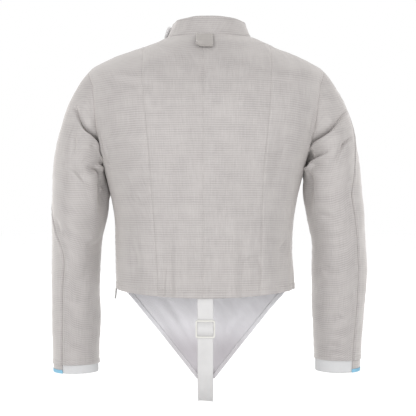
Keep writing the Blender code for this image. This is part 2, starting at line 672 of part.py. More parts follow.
def sleeve_piece(name, side, first_turn, last_turn, columns):
    ways = sleeve_ways()
    share = np.linspace(0.0, 1.0, columns + 1)[None, :]
    arm_turn = between(first_turn(ways)[:, None], last_turn(ways)[:, None], share)
    way = np.repeat(ways[:, None], columns + 1, axis=1)
    points, normals = sleeve_form(side)(arm_turn, way), sleeve_normals(side, arm_turn, way)
    side_name = "left" if side == LEFT else "right"
    from_armhole = smooth(way / 0.12)
    for where in (side_name + "_back", side_name + "_front"):
        points = layer(points, normals, -fold_depth(points, normals, where) * from_armhole)
    normals[0] = armhole_normals(side, arm_turn[0])
    half = SEAM_GAP / 2
    points = trimmed(points, (SEAM_GAP, 0.0, half, half))
    wall(name, points, normals, LAME_WALL, "lame_cloth")


def cuff_sheet(side, arm_turn, top_z, bottom_z, out):
    z = np.linspace(top_z, bottom_z, 3)[:, None] * np.ones_like(arm_turn)[None, :]
    turn = np.repeat(arm_turn[None, :], 3, axis=0)
    points = tube_point(side, turn, z)
    along = tube_point(side, turn + 2e-3, z) - tube_point(side, turn - 2e-3, z)
    normals = side * unit(np.cross(along, np.array([0.0, 0.0, -1.0])))
    return layer(points, normals, np.full(z.shape, out)), normals


def make_sleeve(side):
    name = "left" if side == LEFT else "right"

    def outer_seam(way):
        return np.radians(SLEEVE_SEAM.at(name, way))

    def inner_seam(way):
        return np.radians(SLEEVE_SEAM.at("inner", way))

    def outer_seam_again(way):
        return outer_seam(way) + 2 * math.pi

    sleeve_piece("sleeve_back_" + name, side, outer_seam, inner_seam, BACK_SLEEVE_COLUMNS)
    sleeve_piece("sleeve_front_" + name, side, inner_seam, outer_seam_again, FRONT_SLEEVE_COLUMNS)

    wrist, bottom = WRIST_Z[side], CUFF_BOTTOM_Z[side]
    at_back = np.linspace(outer_seam(2.0), inner_seam(2.0), BACK_SLEEVE_COLUMNS + 1)
    at_front = np.linspace(inner_seam(2.0), outer_seam_again(2.0), FRONT_SLEEVE_COLUMNS + 1)
    round_turns = np.concatenate([at_back[:-1], at_front[:-1]])
    tucked = -(LAME_WALL + WHITE_WALL) / 2 - 3 * LAYER_GAP
    points, normals = cuff_sheet(side, round_turns, wrist + CUFF_TUCK, bottom, tucked)
    wall("cuff_" + name, points, normals, WHITE_WALL, "cuff_knit", round_piece=True)

    to_front = math.radians(CUFF_STRIP_TO_FRONT)
    strip_turns = np.linspace(to_front, outer_seam(2.0), CUFF_STRIP_COLUMNS + 1)
    trim_top = bottom + CUFF_TRIM_HEIGHT
    over = tucked + (WHITE_WALL + LAME_WALL) / 2 + 2 * LAYER_GAP
    points, normals = cuff_sheet(side, strip_turns, wrist - SEAM_GAP, trim_top + SEAM_GAP, over)
    wall("cuff_strip_" + name, points, normals, LAME_WALL, "lame_cloth")
    points, normals = cuff_sheet(side, strip_turns, trim_top, bottom - SEAM_GAP, over)
    wall("cuff_trim_" + name, points, normals, LAME_WALL, "blue_trim")


# ---------------------------------------------------------------- groin cloth
def groin_sheet(columns):
    """The front hem's curve carried straight down and cut to a triangle with a blunt end. Its outermost
    columns are as wide as its turned side hems."""
    down = np.linspace(0.0, 1.0, GROIN_ROWS)[:, None]
    half = between(GROIN_TOP_HALF, GROIN_END_HALF, down)
    slant = math.hypot(1.0, (GROIN_TOP_HALF - GROIN_END_HALF) / (HEM_LEVEL - GROIN_END_Z))
    inner = half - GROIN_HEM_WIDTH * slant
    x = np.concatenate([-half, inner * np.linspace(-1.0, 1.0, columns - 1)[None, :], half], axis=1)
    level = np.full_like(x, HEM_LEVEL)
    turn = math.pi - across_turn(x, level)
    points = body_form(turn, level)
    normals = unit(body_normals(turn, level) * np.array([1.0, 1.0, 0.0]))
    points[..., 2] = between(points[..., 2], GROIN_END_Z, down)
    points[..., 1] -= GROIN_LEAN * down**2
    return points, normals


def make_groin():
    points, normals = groin_sheet(GROIN_COLUMNS)
    cloth = trimmed(points, (SEAM_GAP, 0.0, 0.0, 0.0))
    wall("groin_cloth", cloth, normals, WHITE_WALL, "white_cloth")
    for name, outer in (("left", slice(0, 2)), ("right", slice(-2, None))):
        strip = trimmed(points[:, outer], (GROIN_HEM_STARTS, 0.0, 0.0, 0.0))
        strip = layer(strip, normals[:, outer], -(WHITE_WALL + LAYER_GAP))
        wall("groin_hem_" + name, strip, normals[:, outer], WHITE_WALL, "white_cloth")


# ---------------------------------------------------------------- strap and buckle
def smooth_path(corners, steps):
    """A smooth line through the corner points, with the given steps between two of them."""
    corners = np.array(corners)
    lengths = np.append(0.0, np.cumsum(np.linalg.norm(np.diff(corners, axis=0), axis=1)))
    curve = Table(("length", "y", "z"), [(length, *corner) for length, corner in zip(lengths, corners)])
    places = np.interp(np.arange((len(corners) - 1) * steps + 1) / steps, np.arange(len(corners)), lengths)
    return np.stack([curve.at("y", places), curve.at("z", places)], axis=1)


def make_strap():
    line = smooth_path(STRAP_ROUTE, 3)
    along = unit(np.gradient(line, axis=0))
    normals = np.stack([np.zeros(len(line)), along[:, 1], -along[:, 0]], axis=1)
    points = np.zeros((len(line), 2, 3))
    points[:, :, 0] = np.array([-0.5, 0.5]) * STRAP_WIDTH
    points[:, :, 1:] = line[:, None, :]
    wall("strap", points, np.repeat(normals[:, None, :], 2, axis=1), STRAP_WALL, "white_webbing")


def outline_plate(name, loops, thickness):
    """A flat plate from closed outlines in its own XY plane; outlines inside the first are holes."""
    curve = bpy.data.curves.new(name, "CURVE")
    curve.dimensions = "2D"
    curve.fill_mode = "BOTH"
    curve.extrude = thickness / 2
    for loop in loops:
        spline = curve.splines.new("POLY")
        spline.points.add(len(loop) - 1)
        spline.use_cyclic_u = True
        for point, (x, y) in zip(spline.points, loop):
            point.co = (x, y, 0.0, 1.0)
    return curve


def rounded_box(width, height, radius, centre=(0.0, 0.0)):
    """Outline of a rectangle with round corners."""
    loop = []
    for sx, sy, first in ((1, 1, 0), (-1, 1, 90), (-1, -1, 180), (1, -1, 270)):
        corner = (centre[0] + sx * (width / 2 - radius), centre[1] + sy * (height / 2 - radius))
        for angle in np.radians([first, first + 30, first + 60, first + 90]):
            loop.append((corner[0] + radius * math.cos(angle), corner[1] + radius * math.sin(angle)))
    return loop


def mesh_from_curve(name, curve, matrix, finish):
    """The curve's mesh, placed, welded where its caps meet its sides, as a new object."""
    holder = bpy.data.objects.new(name + "_outline", curve)
    bpy.context.scene.collection.objects.link(holder)
    graph = bpy.context.evaluated_depsgraph_get()
    mesh = bpy.data.meshes.new_from_object(holder.evaluated_get(graph))
    bpy.data.objects.remove(holder)
    mesh.name = name
    shape = bmesh.new()
    shape.from_mesh(mesh)
    bmesh.ops.remove_doubles(shape, verts=shape.verts, dist=1e-6)
    bmesh.ops.recalc_face_normals(shape, faces=shape.faces)
    bmesh.ops.transform(shape, matrix=matrix, verts=shape.verts)
    shape.to_mesh(mesh)
    shape.free()
    return new_object(name, mesh, finish)


def make_buckle():
    hole_height = (BUCKLE_HEIGHT - 3 * BUCKLE_BAR) / 2
    hole_width = BUCKLE_WIDTH - 2 * BUCKLE_SIDE
    offset = (hole_height + BUCKLE_BAR) / 2
    loops = [rounded_box(BUCKLE_WIDTH, BUCKLE_HEIGHT, BUCKLE_CORNER)]
    for y in (offset, -offset):
        loops.append(rounded_box(hole_width, hole_height, BUCKLE_SLOT_CORNER, (0.0, y)))
    curve = outline_plate("buckle", loops, BUCKLE_WALL)
    upright = Matrix.Translation((0.0, BUCKLE_Y, BUCKLE_Z)) @ Matrix.Rotation(math.radians(90), 4, "X")
    mesh_from_curve("buckle", curve, upright, "ivory_plastic")


# ---------------------------------------------------------------- wire tab
def make_tab():
    """A folded loop of lame below the collar seam, lying on the back with its outer leg flat."""
    slope = math.radians(TAB_SLOPE)
    down = np.array([0.0, -math.sin(slope), -math.cos(slope)])
    out = np.array([0.0, -math.cos(slope), math.sin(slope)])
    top = collar_form(np.array(0.0), np.array(0.0)) * np.array([0.0, 1.0, 1.0])
    radius = TAB_LEGS_APART[1] / 2
    fold_starts = TAB_DROP - radius - TAB_WALL / 2
    angles = np.linspace(0.0, math.pi, 7)
    drops = [TAB_STARTS, *(fold_starts + radius * np.sin(angles)), TAB_STARTS]
    heights = [0.0, *(radius * (1 - np.cos(angles))), TAB_LEGS_APART[0]]
    line = np.array([top + down * d + out * (TAB_OFF_BACK + h) for d, h in zip(drops, heights)])
    along = unit(np.gradient(line, axis=0))
    normals = unit(np.cross(along, np.array([1.0, 0.0, 0.0])))
    points = np.repeat(line[:, None, :], 2, axis=1)
    points[:, 0, 0] = TAB_CENTRE_X - TAB_WIDTH / 2
    points[:, 1, 0] = TAB_CENTRE_X + TAB_WIDTH / 2
    wall("wire_tab", points, np.repeat(normals[:, None, :], 2, axis=1), TAB_WALL, "lame_cloth")


# ---------------------------------------------------------------- zip
def zip_strip(levels, reach):
    """A strip along the zip line: the edges of the front panels and, past them, points on the panels'
    first facets, so that the strip lies flat behind both. A reach below the panels' edges lies between."""
    sides = []
    for name, edge, next_column in (("front_right", -1, -2), ("front_left", 0, 1)):
        turn = panel_turns(name, levels)[:, [edge, next_column]]
        level = np.repeat(levels[:, None], 2, axis=1)
        sides.append((body_form(turn, level), body_normals(turn, level)))
    (right, right_normals), (left, left_normals) = sides
    if reach < CHAIN_SHOWS / 2:
        middle, apart = (right[:, 0] + left[:, 0]) / 2, unit(left[:, 0] - right[:, 0])
        facing = unit(right_normals[:, 0] + left_normals[:, 0])
        points = np.stack([middle - apart * reach, middle + apart * reach], axis=1)
        return points, np.stack([facing, facing], axis=1)
    past = reach - CHAIN_SHOWS / 2
    outer = [cloth[:, 0] + unit(cloth[:, 1] - cloth[:, 0]) * past for cloth in (right, left)]
    points = np.stack([outer[0], right[:, 0], left[:, 0], outer[1]], axis=1)
    normals = [right_normals[:, 0], right_normals[:, 0], left_normals[:, 0], left_normals[:, 0]]
    return points, np.stack(normals, axis=1)


def make_zip():
    levels = body_levels()
    points, normals = zip_strip(levels, TAPE_WIDTH / 2)
    inside = (LAME_WALL + TAPE_WALL) / 2 + LAYER_GAP
    points = layer(points, normals, np.full(points.shape[:2], -inside))
    points = trimmed(points, (0.0, TAPE_STOPS, 0.0, 0.0))
    wall("zip_tape", points, normals, TAPE_WALL, "zip_tape")

    start, end = SLIDER_LEVEL + SLIDER_LENGTH / 2 + CHAIN_STARTS, levels[-2]
    chain_levels = np.concatenate([[start], levels[(levels > start) & (levels < end)], [end]])
    points, normals = zip_strip(chain_levels, CHAIN_WIDTH / 2)
    on_tape = CHAIN_WALL / 2 - LAME_WALL / 2
    points = layer(points, normals, np.full(points.shape[:2], on_tape))
    wall("zip_chain", points, normals, CHAIN_WALL, "zip_metal")


def slider_frame():
    """Centre of the slider and its directions: across the zip, up along it, and out of the cloth."""
    levels = np.array([SLIDER_LEVEL - MM, SLIDER_LEVEL, SLIDER_LEVEL + MM])
    line = body_form(zip_turn(levels), levels)
    out = Vector(body_normals(zip_turn(levels), levels)[1])
    up = Vector(line[2] - line[0])
    up = (up - out * up.dot(out)).normalized()
    return Vector(line[1]), up.cross(out), up, out


def placed(across, up, out, centre):
    """Matrix whose X, Y and Z axes are across, up and out, at a centre."""
    return Matrix.Translation(centre) @ Matrix((across, up, out)).transposed().to_4x4()


def make_slider():
    """The slider's body lies on the chain; the pull's cross bar turns in the lug on it."""
    centre, across, up, out = slider_frame()
    base = centre + out * (SLIDER_WALL / 2 - LAME_WALL / 2)
    bpy.ops.mesh.primitive_cube_add(size=1.0)
    body = bpy.context.active_object
    body.name = "zip_slider"
    body.data.transform(Matrix.Diagonal((SLIDER_WIDTH, SLIDER_LENGTH, SLIDER_WALL, 1.0)))
    body.data.transform(placed(across, up, out, base))
    body.data.materials.append(bpy.data.materials["zip_metal"])
    for collection in list(body.users_collection):
        collection.objects.unlink(body)
    bpy.data.collections["fencing_lame"].objects.link(body)
    bevel = body.modifiers.new("edges", "BEVEL")
    bevel.width = SLIDER_BEVEL
    bevel.segments = 2

    foot = base + out * SLIDER_WALL / 2 - up * LUG_DROP
    middle = (0.0, (LUG_HEIGHT - LUG_SINKS) / 2)
    outer = rounded_box(LUG_LENGTH, LUG_HEIGHT + LUG_SINKS, LUG_CORNER, middle)
    hole = rounded_box(LUG_HOLE, LUG_HOLE, LUG_HOLE_CORNER, (0.0, LUG_EYE))
    curve = outline_plate("zip_lug", [outer, hole], LUG_WALL)
    lug = mesh_from_curve("zip_lug", curve, placed(up, out, across, foot), "zip_metal")
    bpy.data.collections["fencing_lame"].objects.unlink(lug)
    bpy.data.collections["joined_in"].objects.link(lug)
    lug.hide_render = True
    lug.display_type = "WIRE"
    join = body.modifiers.new("lug", "BOOLEAN")
    join.operation = "UNION"
    join.object = lug


def make_pull():
    """The pull hangs from its cross bar, whose middle is the object's origin, on the hinge's axis."""
    centre, across, up, out = slider_frame()
    hinge = centre + out * (SLIDER_WALL - LAME_WALL / 2 + LUG_EYE) - up * LUG_DROP
    hangs = Vector((0.0, 0.0, 1.0))
    hangs = (hangs - across * hangs.dot(across)).normalized()
    outer = rounded_box(PULL_WIDTH, PULL_LENGTH, PULL_CORNER, (0.0, (PULL_BAR - PULL_LENGTH) / 2))
    window = rounded_box(*PULL_WINDOW, PULL_WINDOW_CORNER, (0.0, -(PULL_BAR + PULL_WINDOW[1]) / 2))
    grip = rounded_box(*PULL_GRIP, PULL_GRIP_CORNER, (0.0, PULL_GRIP[1] - PULL_LENGTH))
    curve = outline_plate("zip_pull", [outer, window, grip], PULL_WALL)
    turned = placed(across, hangs, across.cross(hangs), Vector((0.0, 0.0, 0.0)))
    pull = mesh_from_curve("zip_pull", curve, turned, "zip_metal")
    pull.location = hinge


# ---------------------------------------------------------------- scene
def clear_scene():
    for obj in list(bpy.data.objects):
        bpy.data.objects.remove(obj)
    for name in ("fencing_lame", "joined_in"):
        bpy.context.scene.collection.children.link(bpy.data.collections.new(name))


def make_finishes():
    for name, (colour, roughness, metallic) in COLOURS.items():
        material = bpy.data.materials.new(name)
        material.use_nodes = True
        shader = material.node_tree.nodes["Principled BSDF"]
        shader.inputs["Base Color"].default_value = (*colour, 1.0)
        shader.inputs["Roughness"].default_value = roughness
        shader.inputs["Metallic"].default_value = metallic


clear_scene()
make_finishes()
make_body()
make_collar()
for arm in (LEFT, RIGHT):
    make_sleeve(arm)
make_groin()
make_strap()
make_buckle()
make_tab()
make_zip()
make_slider()
make_pull()
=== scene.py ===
"""Looks of a sabre fencing lame, an electric over-jacket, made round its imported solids.

Frame: metres, +Z up, +Y towards the wearer's front, +X towards the wearer's right hand.
Every cloth piece is a thin shell on the same form as its solid. The body's form is a stack of
rings: a ring is placed by its level, its height at the side, and a point on it by its turn, the
angle from the centre back (0) by the right side to the centre front (180 degrees). A sleeve's
form is one tube, placed by the turn round the arm and the way down it.
"""

import math

import bpy
import numpy as np
from mathutils import Matrix, Vector


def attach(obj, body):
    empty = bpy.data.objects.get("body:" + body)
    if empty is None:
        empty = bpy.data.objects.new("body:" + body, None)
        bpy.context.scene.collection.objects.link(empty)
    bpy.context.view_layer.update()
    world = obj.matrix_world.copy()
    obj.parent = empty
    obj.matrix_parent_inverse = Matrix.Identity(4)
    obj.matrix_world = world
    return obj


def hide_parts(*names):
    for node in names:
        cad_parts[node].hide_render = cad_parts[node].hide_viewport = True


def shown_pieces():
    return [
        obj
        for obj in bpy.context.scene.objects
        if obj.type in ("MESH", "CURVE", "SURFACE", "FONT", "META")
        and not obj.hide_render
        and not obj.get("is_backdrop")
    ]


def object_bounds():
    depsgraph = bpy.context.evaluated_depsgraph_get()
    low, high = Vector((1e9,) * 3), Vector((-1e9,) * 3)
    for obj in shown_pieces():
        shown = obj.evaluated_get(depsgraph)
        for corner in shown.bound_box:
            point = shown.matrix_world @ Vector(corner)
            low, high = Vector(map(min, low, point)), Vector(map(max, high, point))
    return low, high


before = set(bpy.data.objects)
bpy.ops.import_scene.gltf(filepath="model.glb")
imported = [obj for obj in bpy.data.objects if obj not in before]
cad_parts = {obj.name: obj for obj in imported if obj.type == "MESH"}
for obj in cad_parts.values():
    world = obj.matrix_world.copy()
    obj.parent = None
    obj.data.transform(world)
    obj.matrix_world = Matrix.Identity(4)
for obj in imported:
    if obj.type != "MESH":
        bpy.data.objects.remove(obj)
cad_low, cad_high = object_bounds()

# ------------------------------------------------------------------------------ the studio
# The jacket hangs in the air over a pale floor, in an even white surround, between four large
# soft lights, two behind its back and two before its front. The camera stands square behind it.
MM = 0.001
CAMERA_AWAY, CAMERA_ASIDE, CAMERA_OVER_MIDDLE = 1.8, 0.005, 0.0095
FRAME_WIDTH = 0.832  # what the view takes in at the middle of the jacket
SENSOR = 36.0
FLOOR_BELOW, FLOOR_SIZE = 0.09, 30.0
LIGHT_SIZE = 2.6
middle_z = (cad_low.z + cad_high.z) / 2


def new_object(name, data):
    """An object at the origin, linked to the scene."""
    made = bpy.data.objects.new(name, data)
    bpy.context.scene.collection.objects.link(made)
    return made


camera = new_object("camera", bpy.data.cameras.new("camera"))
camera.data.sensor_width = SENSOR
camera.data.lens = SENSOR * CAMERA_AWAY / FRAME_WIDTH
camera.location = (CAMERA_ASIDE, -CAMERA_AWAY, middle_z + CAMERA_OVER_MIDDLE)
camera.rotation_euler = (math.pi / 2, 0.0, 0.0)
bpy.context.scene.camera = camera
bpy.context.scene.view_settings.view_transform = "Standard"


def linear(colour):
    """An sRGB hex colour as linear red, green, blue and alpha, by the sRGB curve."""
    shares = np.array([int(colour[i : i + 2], 16) / 255 for i in (1, 3, 5)])
    curved = np.where(shares <= 0.04045, shares / 12.92, ((shares + 0.055) / 1.055) ** 2.4)
    return (*curved.tolist(), 1.0)


def add_node(tree, kind, inputs=(), **settings):
    """Adds a shader node with its settings. Each input, by its name or its place, takes a value, a
    socket or another node's first socket."""
    node = tree.nodes.new("ShaderNode" + kind)
    for name, value in settings.items():
        setattr(node, name, value)
    for key, value in (inputs if isinstance(inputs, dict) else dict(enumerate(inputs))).items():
        value = value.outputs[0] if isinstance(value, bpy.types.Node) else value
        if isinstance(value, bpy.types.NodeSocket):
            tree.links.new(value, node.inputs[key])
        else:
            node.inputs[key].default_value = value
    return node


def new_finish(name, colour, roughness, **sockets):
    """A material of one Principled shader; returns it with its tree and shader for its pattern."""
    material = bpy.data.materials.new(name)
    material.use_nodes = True
    shader = material.node_tree.nodes["Principled BSDF"]
    shader.inputs["Base Color"].default_value = linear(colour)
    shader.inputs["Roughness"].default_value = roughness
    for key, value in sockets.items():
        shader.inputs[key.replace("_", " ")].default_value = value
    return material, material.node_tree, shader


paint = new_finish("matt_floor_paint", "#FFFFFF", 0.9)[0]
bpy.ops.mesh.primitive_plane_add(size=FLOOR_SIZE, location=(0.0, 0.0, cad_low.z - FLOOR_BELOW))
floor = bpy.context.active_object
floor.name = "floor"
floor.data.materials.append(paint)
floor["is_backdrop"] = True

world = bpy.data.worlds.new("white_surround")
world.use_nodes = True
surround = world.node_tree.nodes["Background"].inputs
surround["Color"].default_value, surround["Strength"].default_value = (1.0, 1.0, 1.0, 1.0), 1.0
bpy.context.scene.world = world

for name, place, watts in (
    ("light_back_left", (-1.7, -4.1, 0.2), 108.0),
    ("light_back_right", (2.3, -3.9, 0.2), 72.0),
    ("light_front_left", (-2.2, 3.9, 0.2), 55.0),
    ("light_front_right", (2.2, 3.9, 0.2), 40.0),
):
    light = new_object(name, bpy.data.lights.new(name, "AREA"))
    light.data.size, light.data.energy, light.location = LIGHT_SIZE, watts, place
    towards = Vector((0.0, 0.0, middle_z)) - light.location
    light.rotation_euler = towards.to_track_quat("-Z", "Y").to_euler()


# ------------------------------------------------------------------------------ lame cloth
# Ribbed cloth woven with a warp of cotton and a weft of fine metal-wrapped yarn, pale warm grey
# with a soft shine, and a painted sheen that makes its colour paler where it is seen at a slant.
# The ribs run across each piece. Its reverse shows less metal and is duller.
RIB = 4.4 * MM  # real ribs are about 1 mm apart, drawn this coarse so that they show
WARP = 2.2 * MM  # fine lengthways yarns, drawn coarse as well
PAINTED_SLANT_SHEEN = 0.25  # painted sheen: how much paler the colour is painted where the cloth is seen at a slant


def cloth_places(tree):
    """The cloth map's sockets in metres: along the weft, and along the warp."""
    place = add_node(tree, "UVMap", uv_map="cloth").outputs["UV"]
    split = add_node(tree, "SeparateXYZ", {"Vector": place}).outputs
    return place, split["X"], split["Y"]


def stretched_noise(tree, place, across, along, detail=2.0):
    """Noise whose grain is `across` wide and `along` long on the cloth, from 0 to 1."""
    scaled = add_node(tree, "Mapping", {"Vector": place, "Scale": (1 / across, 1 / along, 1.0)})
    inputs = {"Vector": scaled, "Scale": 1.0, "Detail": detail}
    return add_node(tree, "TexNoise", inputs, noise_dimensions="2D")


def weighted_sum(tree, *parts):
    """Sum of values, each times its weight."""
    total = 0.0
    for value, weight in parts:
        total = add_node(tree, "Math", (value, weight, total), operation="MULTIPLY_ADD")
    return total


def link_looks(tree, shader, colour, height, distance, strength, **settings):
    """Gives a shader its colour, and a relief whose whole height is `distance`."""
    if colour:
        tree.links.new(colour, shader.inputs["Base Color"])
    bump = {"Height": height, "Distance": distance, "Strength": strength}
    bump = add_node(tree, "Bump", bump, **settings)
    tree.links.new(bump.outputs[0], shader.inputs["Normal"])


def lame_finish(name, light, dark, metallic, roughness):
    """Ribs are sine waves along the warp, stronger in some patches than in others; the warp yarns
    and a slow cloud of tone lie over them, and a painted sheen makes the whole paler at a slant."""
    material, tree, shader = new_finish(name, light, roughness, Metallic=metallic)
    place, _, along = cloth_places(tree)
    bend = stretched_noise(tree, place, 0.12, 0.04)
    waves = weighted_sum(tree, (along, 2 * math.pi / RIB), (bend, 0.5 * math.pi))
    rib = weighted_sum(tree, (add_node(tree, "Math", (waves,), operation="SINE"), 0.5), (1.0, 0.5))
    patch = stretched_noise(tree, place, 0.055, 0.022, 3.0)
    patch = {"Value": patch, "From Min": 0.35, "From Max": 0.65, "To Min": 0.4}
    rib = add_node(tree, "Math", (rib, add_node(tree, "MapRange", patch)), operation="MULTIPLY")
    yarn = stretched_noise(tree, place, WARP, 0.030, 1.0)
    cloud = stretched_noise(tree, place, 0.035, 0.11)
    tone = weighted_sum(tree, (rib, 0.50), (yarn, 0.42), (cloud, 0.28))
    mix = {"Factor": tone, 6: linear(light), 7: linear(dark)}
    mix = add_node(tree, "Mix", mix, data_type="RGBA").outputs[2]
    # Painted sheen: by the facing, the colour is mixed towards near white, so the cloth is painted
    # paler at a slant.
    slant = add_node(tree, "LayerWeight", {"Blend": 0.5}).outputs["Facing"]
    slant = {"Value": slant, "From Min": 0.2, "From Max": 0.8, "To Max": PAINTED_SLANT_SHEEN}
    mix = {"Factor": add_node(tree, "MapRange", slant), 6: mix, 7: linear("#FFFAF6")}
    mix = add_node(tree, "Mix", mix, data_type="RGBA").outputs[2]
    height = weighted_sum(tree, (rib, 1.0), (yarn, 0.8))
    link_looks(tree, shader, mix, height, 0.16 * MM, 0.8, invert=True)
    return material


lame = lame_finish("ribbed_lame", "#A19D9B", "#858180", 0.12, 0.62)
LAME_BOTH = (lame, lame_finish("lame_reverse", "#928E8B", "#7A7673", 0.05, 0.75))


# ------------------------------------------------------------------------------ the body
# Six cut pieces of lame: two centre backs, two side backs, and two fronts that meet at the zip on
# the left chest. They are joined by plain seams pressed open, and the hem is turned up 12 mm.
HEM_LEVEL, UNDERARM_LEVEL, TIP_LEVEL, NECK_LEVEL = -0.495, -0.250, -0.059, 0.002
BODY_COLUMNS = (
    "level", "back_z", "front_z", "centre_x", "half_width", "back_depth", "front_depth", "square",
)
BODY_RINGS = (
    (HEM_LEVEL, -0.507, -0.502, -0.0010, 0.1770, 0.106, 0.106, 2.30),
    (-0.420, -0.426, -0.425, -0.0030, 0.1745, 0.103, 0.108, 2.30),
    (-0.360, -0.364, -0.364, -0.0020, 0.1775, 0.106, 0.113, 2.30),
    (-0.305, -0.308, -0.309, -0.0030, 0.1870, 0.112, 0.119, 2.30),
    (UNDERARM_LEVEL, -0.253, -0.255, -0.0030, 0.2015, 0.118, 0.122, 2.30),
    (-0.200, -0.205, -0.208, -0.0010, 0.2240, 0.122, 0.118, 2.30),
    (-0.150, -0.158, -0.166, 0.0010, 0.2370, 0.120, 0.108, 2.30),
    (-0.100, -0.112, -0.128, 0.0020, 0.2380, 0.112, 0.094, 2.25),
    (TIP_LEVEL, -0.078, -0.098, 0.0020, 0.2250, 0.101, 0.080, 2.20),
    (-0.040, -0.060, -0.084, 0.0040, 0.1880, 0.094, 0.074, 2.10),
    (-0.020, -0.035, -0.067, 0.0065, 0.1370, 0.083, 0.067, 2.00),
    (-0.008, -0.016, -0.056, 0.0095, 0.1060, 0.074, 0.063, 2.00),
    (NECK_LEVEL, -0.003, -0.048, 0.0070, 0.0835, 0.066, 0.060, 2.00),
)
CENTRE_BACK_X = -0.004
SIDE_SEAM_TO_BACK = 7.0  # degrees that the side seam comes round to the back at the hem
ARMHOLE_REACH = {"back": 0.060, "front": 0.064}
BACK_SEAMS = (  # level, left x, right x of the two long seams from the shoulder to the hem
    (HEM_LEVEL, -0.0900, 0.1050),
    (-0.432, -0.0930, 0.1070),
    (-0.323, -0.1005, 0.1088),
    (-0.252, -0.1060, 0.1118),
    (-0.197, -0.1098, 0.1168),
    (-0.110, -0.1178, 0.1245),
    (-0.040, -0.1200, 0.1258),
    (NECK_LEVEL, -0.1200, 0.1258),
)
ZIP_LINE = (  # level, x of the zip, from the collar down to the hem at the left side
    (HEM_LEVEL, -0.1750),
    (-0.420, -0.1675),
    (-0.360, -0.1600),
    (-0.250, -0.1480),
    (-0.150, -0.1280),
    (TIP_LEVEL, -0.0930),
    (-0.020, -0.0700),
    (NECK_LEVEL, -0.0550),
)
CELL = 3.0 * MM  # the fine grid's usual step
CLOTH_OUT = 0.8 * MM  # the outer face stands this far off the form
CLOTH = 1.2 * MM  # thickness of the shell
SEAM_ROLL = 3.2 * MM  # the cloth rolls in to its seam over this width
ALLOWANCE = 11.0 * MM  # the pressed seam allowances lie under the cloth this far from the seam
HEM_TURN, HEM_STEP, GROOVE = 12.0 * MM, 0.35 * MM, 1.3 * MM  # the turn, its edge, its stitches
PUCKER = 5.0 * MM  # seams pucker most this far from them
SEAM_HOLDS = 9.0 * MM  # waves and creases fade towards armhole and neck over this
BODY_RADIUS = 0.2  # makes lengths of turns, so that the weave runs on from panel to panel
CHAIN_SHOWS = 9.0 * MM
LEFT, RIGHT = -1, 1
SIDE_NAMES = {LEFT: "left", RIGHT: "right"}


class Table:
    """Named columns over rows; `at` reads a column on a smooth curve through the rows: each span
    is a cubic whose end slopes are the central differences."""

    def __init__(self, names, rows):
        self.columns = {n: np.array([row[i] for row in sorted(rows)]) for i, n in enumerate(names)}
        self.key = self.columns[names[0]]

    def at(self, name, where):
        keys, values = self.key, self.columns[name]
        slopes = np.gradient(values, keys)
        where = np.clip(np.asarray(where, float), keys[0], keys[-1])
        i = np.clip(np.searchsorted(keys, where, side="right") - 1, 0, len(keys) - 2)
        span = keys[i + 1] - keys[i]
        t = (where - keys[i]) / span
        ends = values[i] * (1 + 2 * t) * (1 - t) ** 2 + values[i + 1] * t * t * (3 - 2 * t)
        return ends + span * (slopes[i] * t * (1 - t) ** 2 - slopes[i + 1] * t * t * (1 - t))

    def facing(self, at_back, name, where):
        return np.where(at_back, self.at("back_" + name, where), self.at("front_" + name, where))


BODY = Table(BODY_COLUMNS, BODY_RINGS)
BACK_SEAM = Table(("level", LEFT, RIGHT), BACK_SEAMS)
ZIP = Table(("level", "x"), ZIP_LINE)


def unit(vectors):
    return vectors / np.maximum(np.linalg.norm(vectors, axis=-1, keepdims=True), 1e-12)


def smooth(t):
    t = np.clip(t, 0.0, 1.0)
    return t * t * (3 - 2 * t)


def between(a, b, share):
    return a + (b - a) * share


def bell(away, width):
    return np.exp(-((away / width) ** 2))


def hump(near, width):
    """Rises from 0 at a seam to 1 at `width` from it and fades again."""
    return near / width * np.exp(1 - near / width)


def normals_of(surface, u, v, v_low, v_high):
    """Unit normals of surface(u, v): the cross product of small steps along u and v."""
    along_u = surface(u + 1e-3, v) - surface(u - 1e-3, v)
    v_up, v_down = np.minimum(v + 1e-3, v_high), np.maximum(v - 1e-3, v_low)
    return unit(np.cross(along_u, surface(u, v_up) - surface(u, v_down)))


def ring_shares(turn, square):
    """Across and deep shares of a rounded-square ring: sine and cosine over their power mean."""
    s, c = np.sin(turn), np.cos(turn)
    reach = (np.abs(s) ** square + np.abs(c) ** square) ** (1.0 / square)
    return s / reach, c / reach


def ring_point(table, turn, row, side_z, square):
    """A point of a body or collar ring: its half width and depths times the shares; its height
    runs from the side's to the middle's as the squared cosine of the turn."""
    across, deep = ring_shares(turn, square)
    x = table.at("centre_x", row) + table.at("half_width", row) * across
    y = -table.facing(deep > 0, "depth", row) * deep
    z = side_z + (table.facing(deep > 0, "z", row) - side_z) * np.cos(turn) ** 2
    return np.stack(np.broadcast_arrays(x, y, z), axis=-1)


def body_form(turn, level):
    return ring_point(BODY, turn, level, level, BODY.at("square", level))


def body_normals(turn, level):
    return normals_of(body_form, turn, level, HEM_LEVEL, NECK_LEVEL)


def across_turn(x, level):
    """Turn on the back half at which a ring reaches x; past the ring's width it is the side."""
    square = BODY.at("square", level)
    share = np.clip((x - BODY.at("centre_x", level)) / BODY.at("half_width", level), -1.0, 1.0)
    return np.arctan2(share, np.maximum(1.0 - np.abs(share) ** square, 0.0) ** (1.0 / square))


ARMHOLE_MIDDLE = (TIP_LEVEL + UNDERARM_LEVEL) / 2
ARMHOLE_HALF = (TIP_LEVEL - UNDERARM_LEVEL) / 2


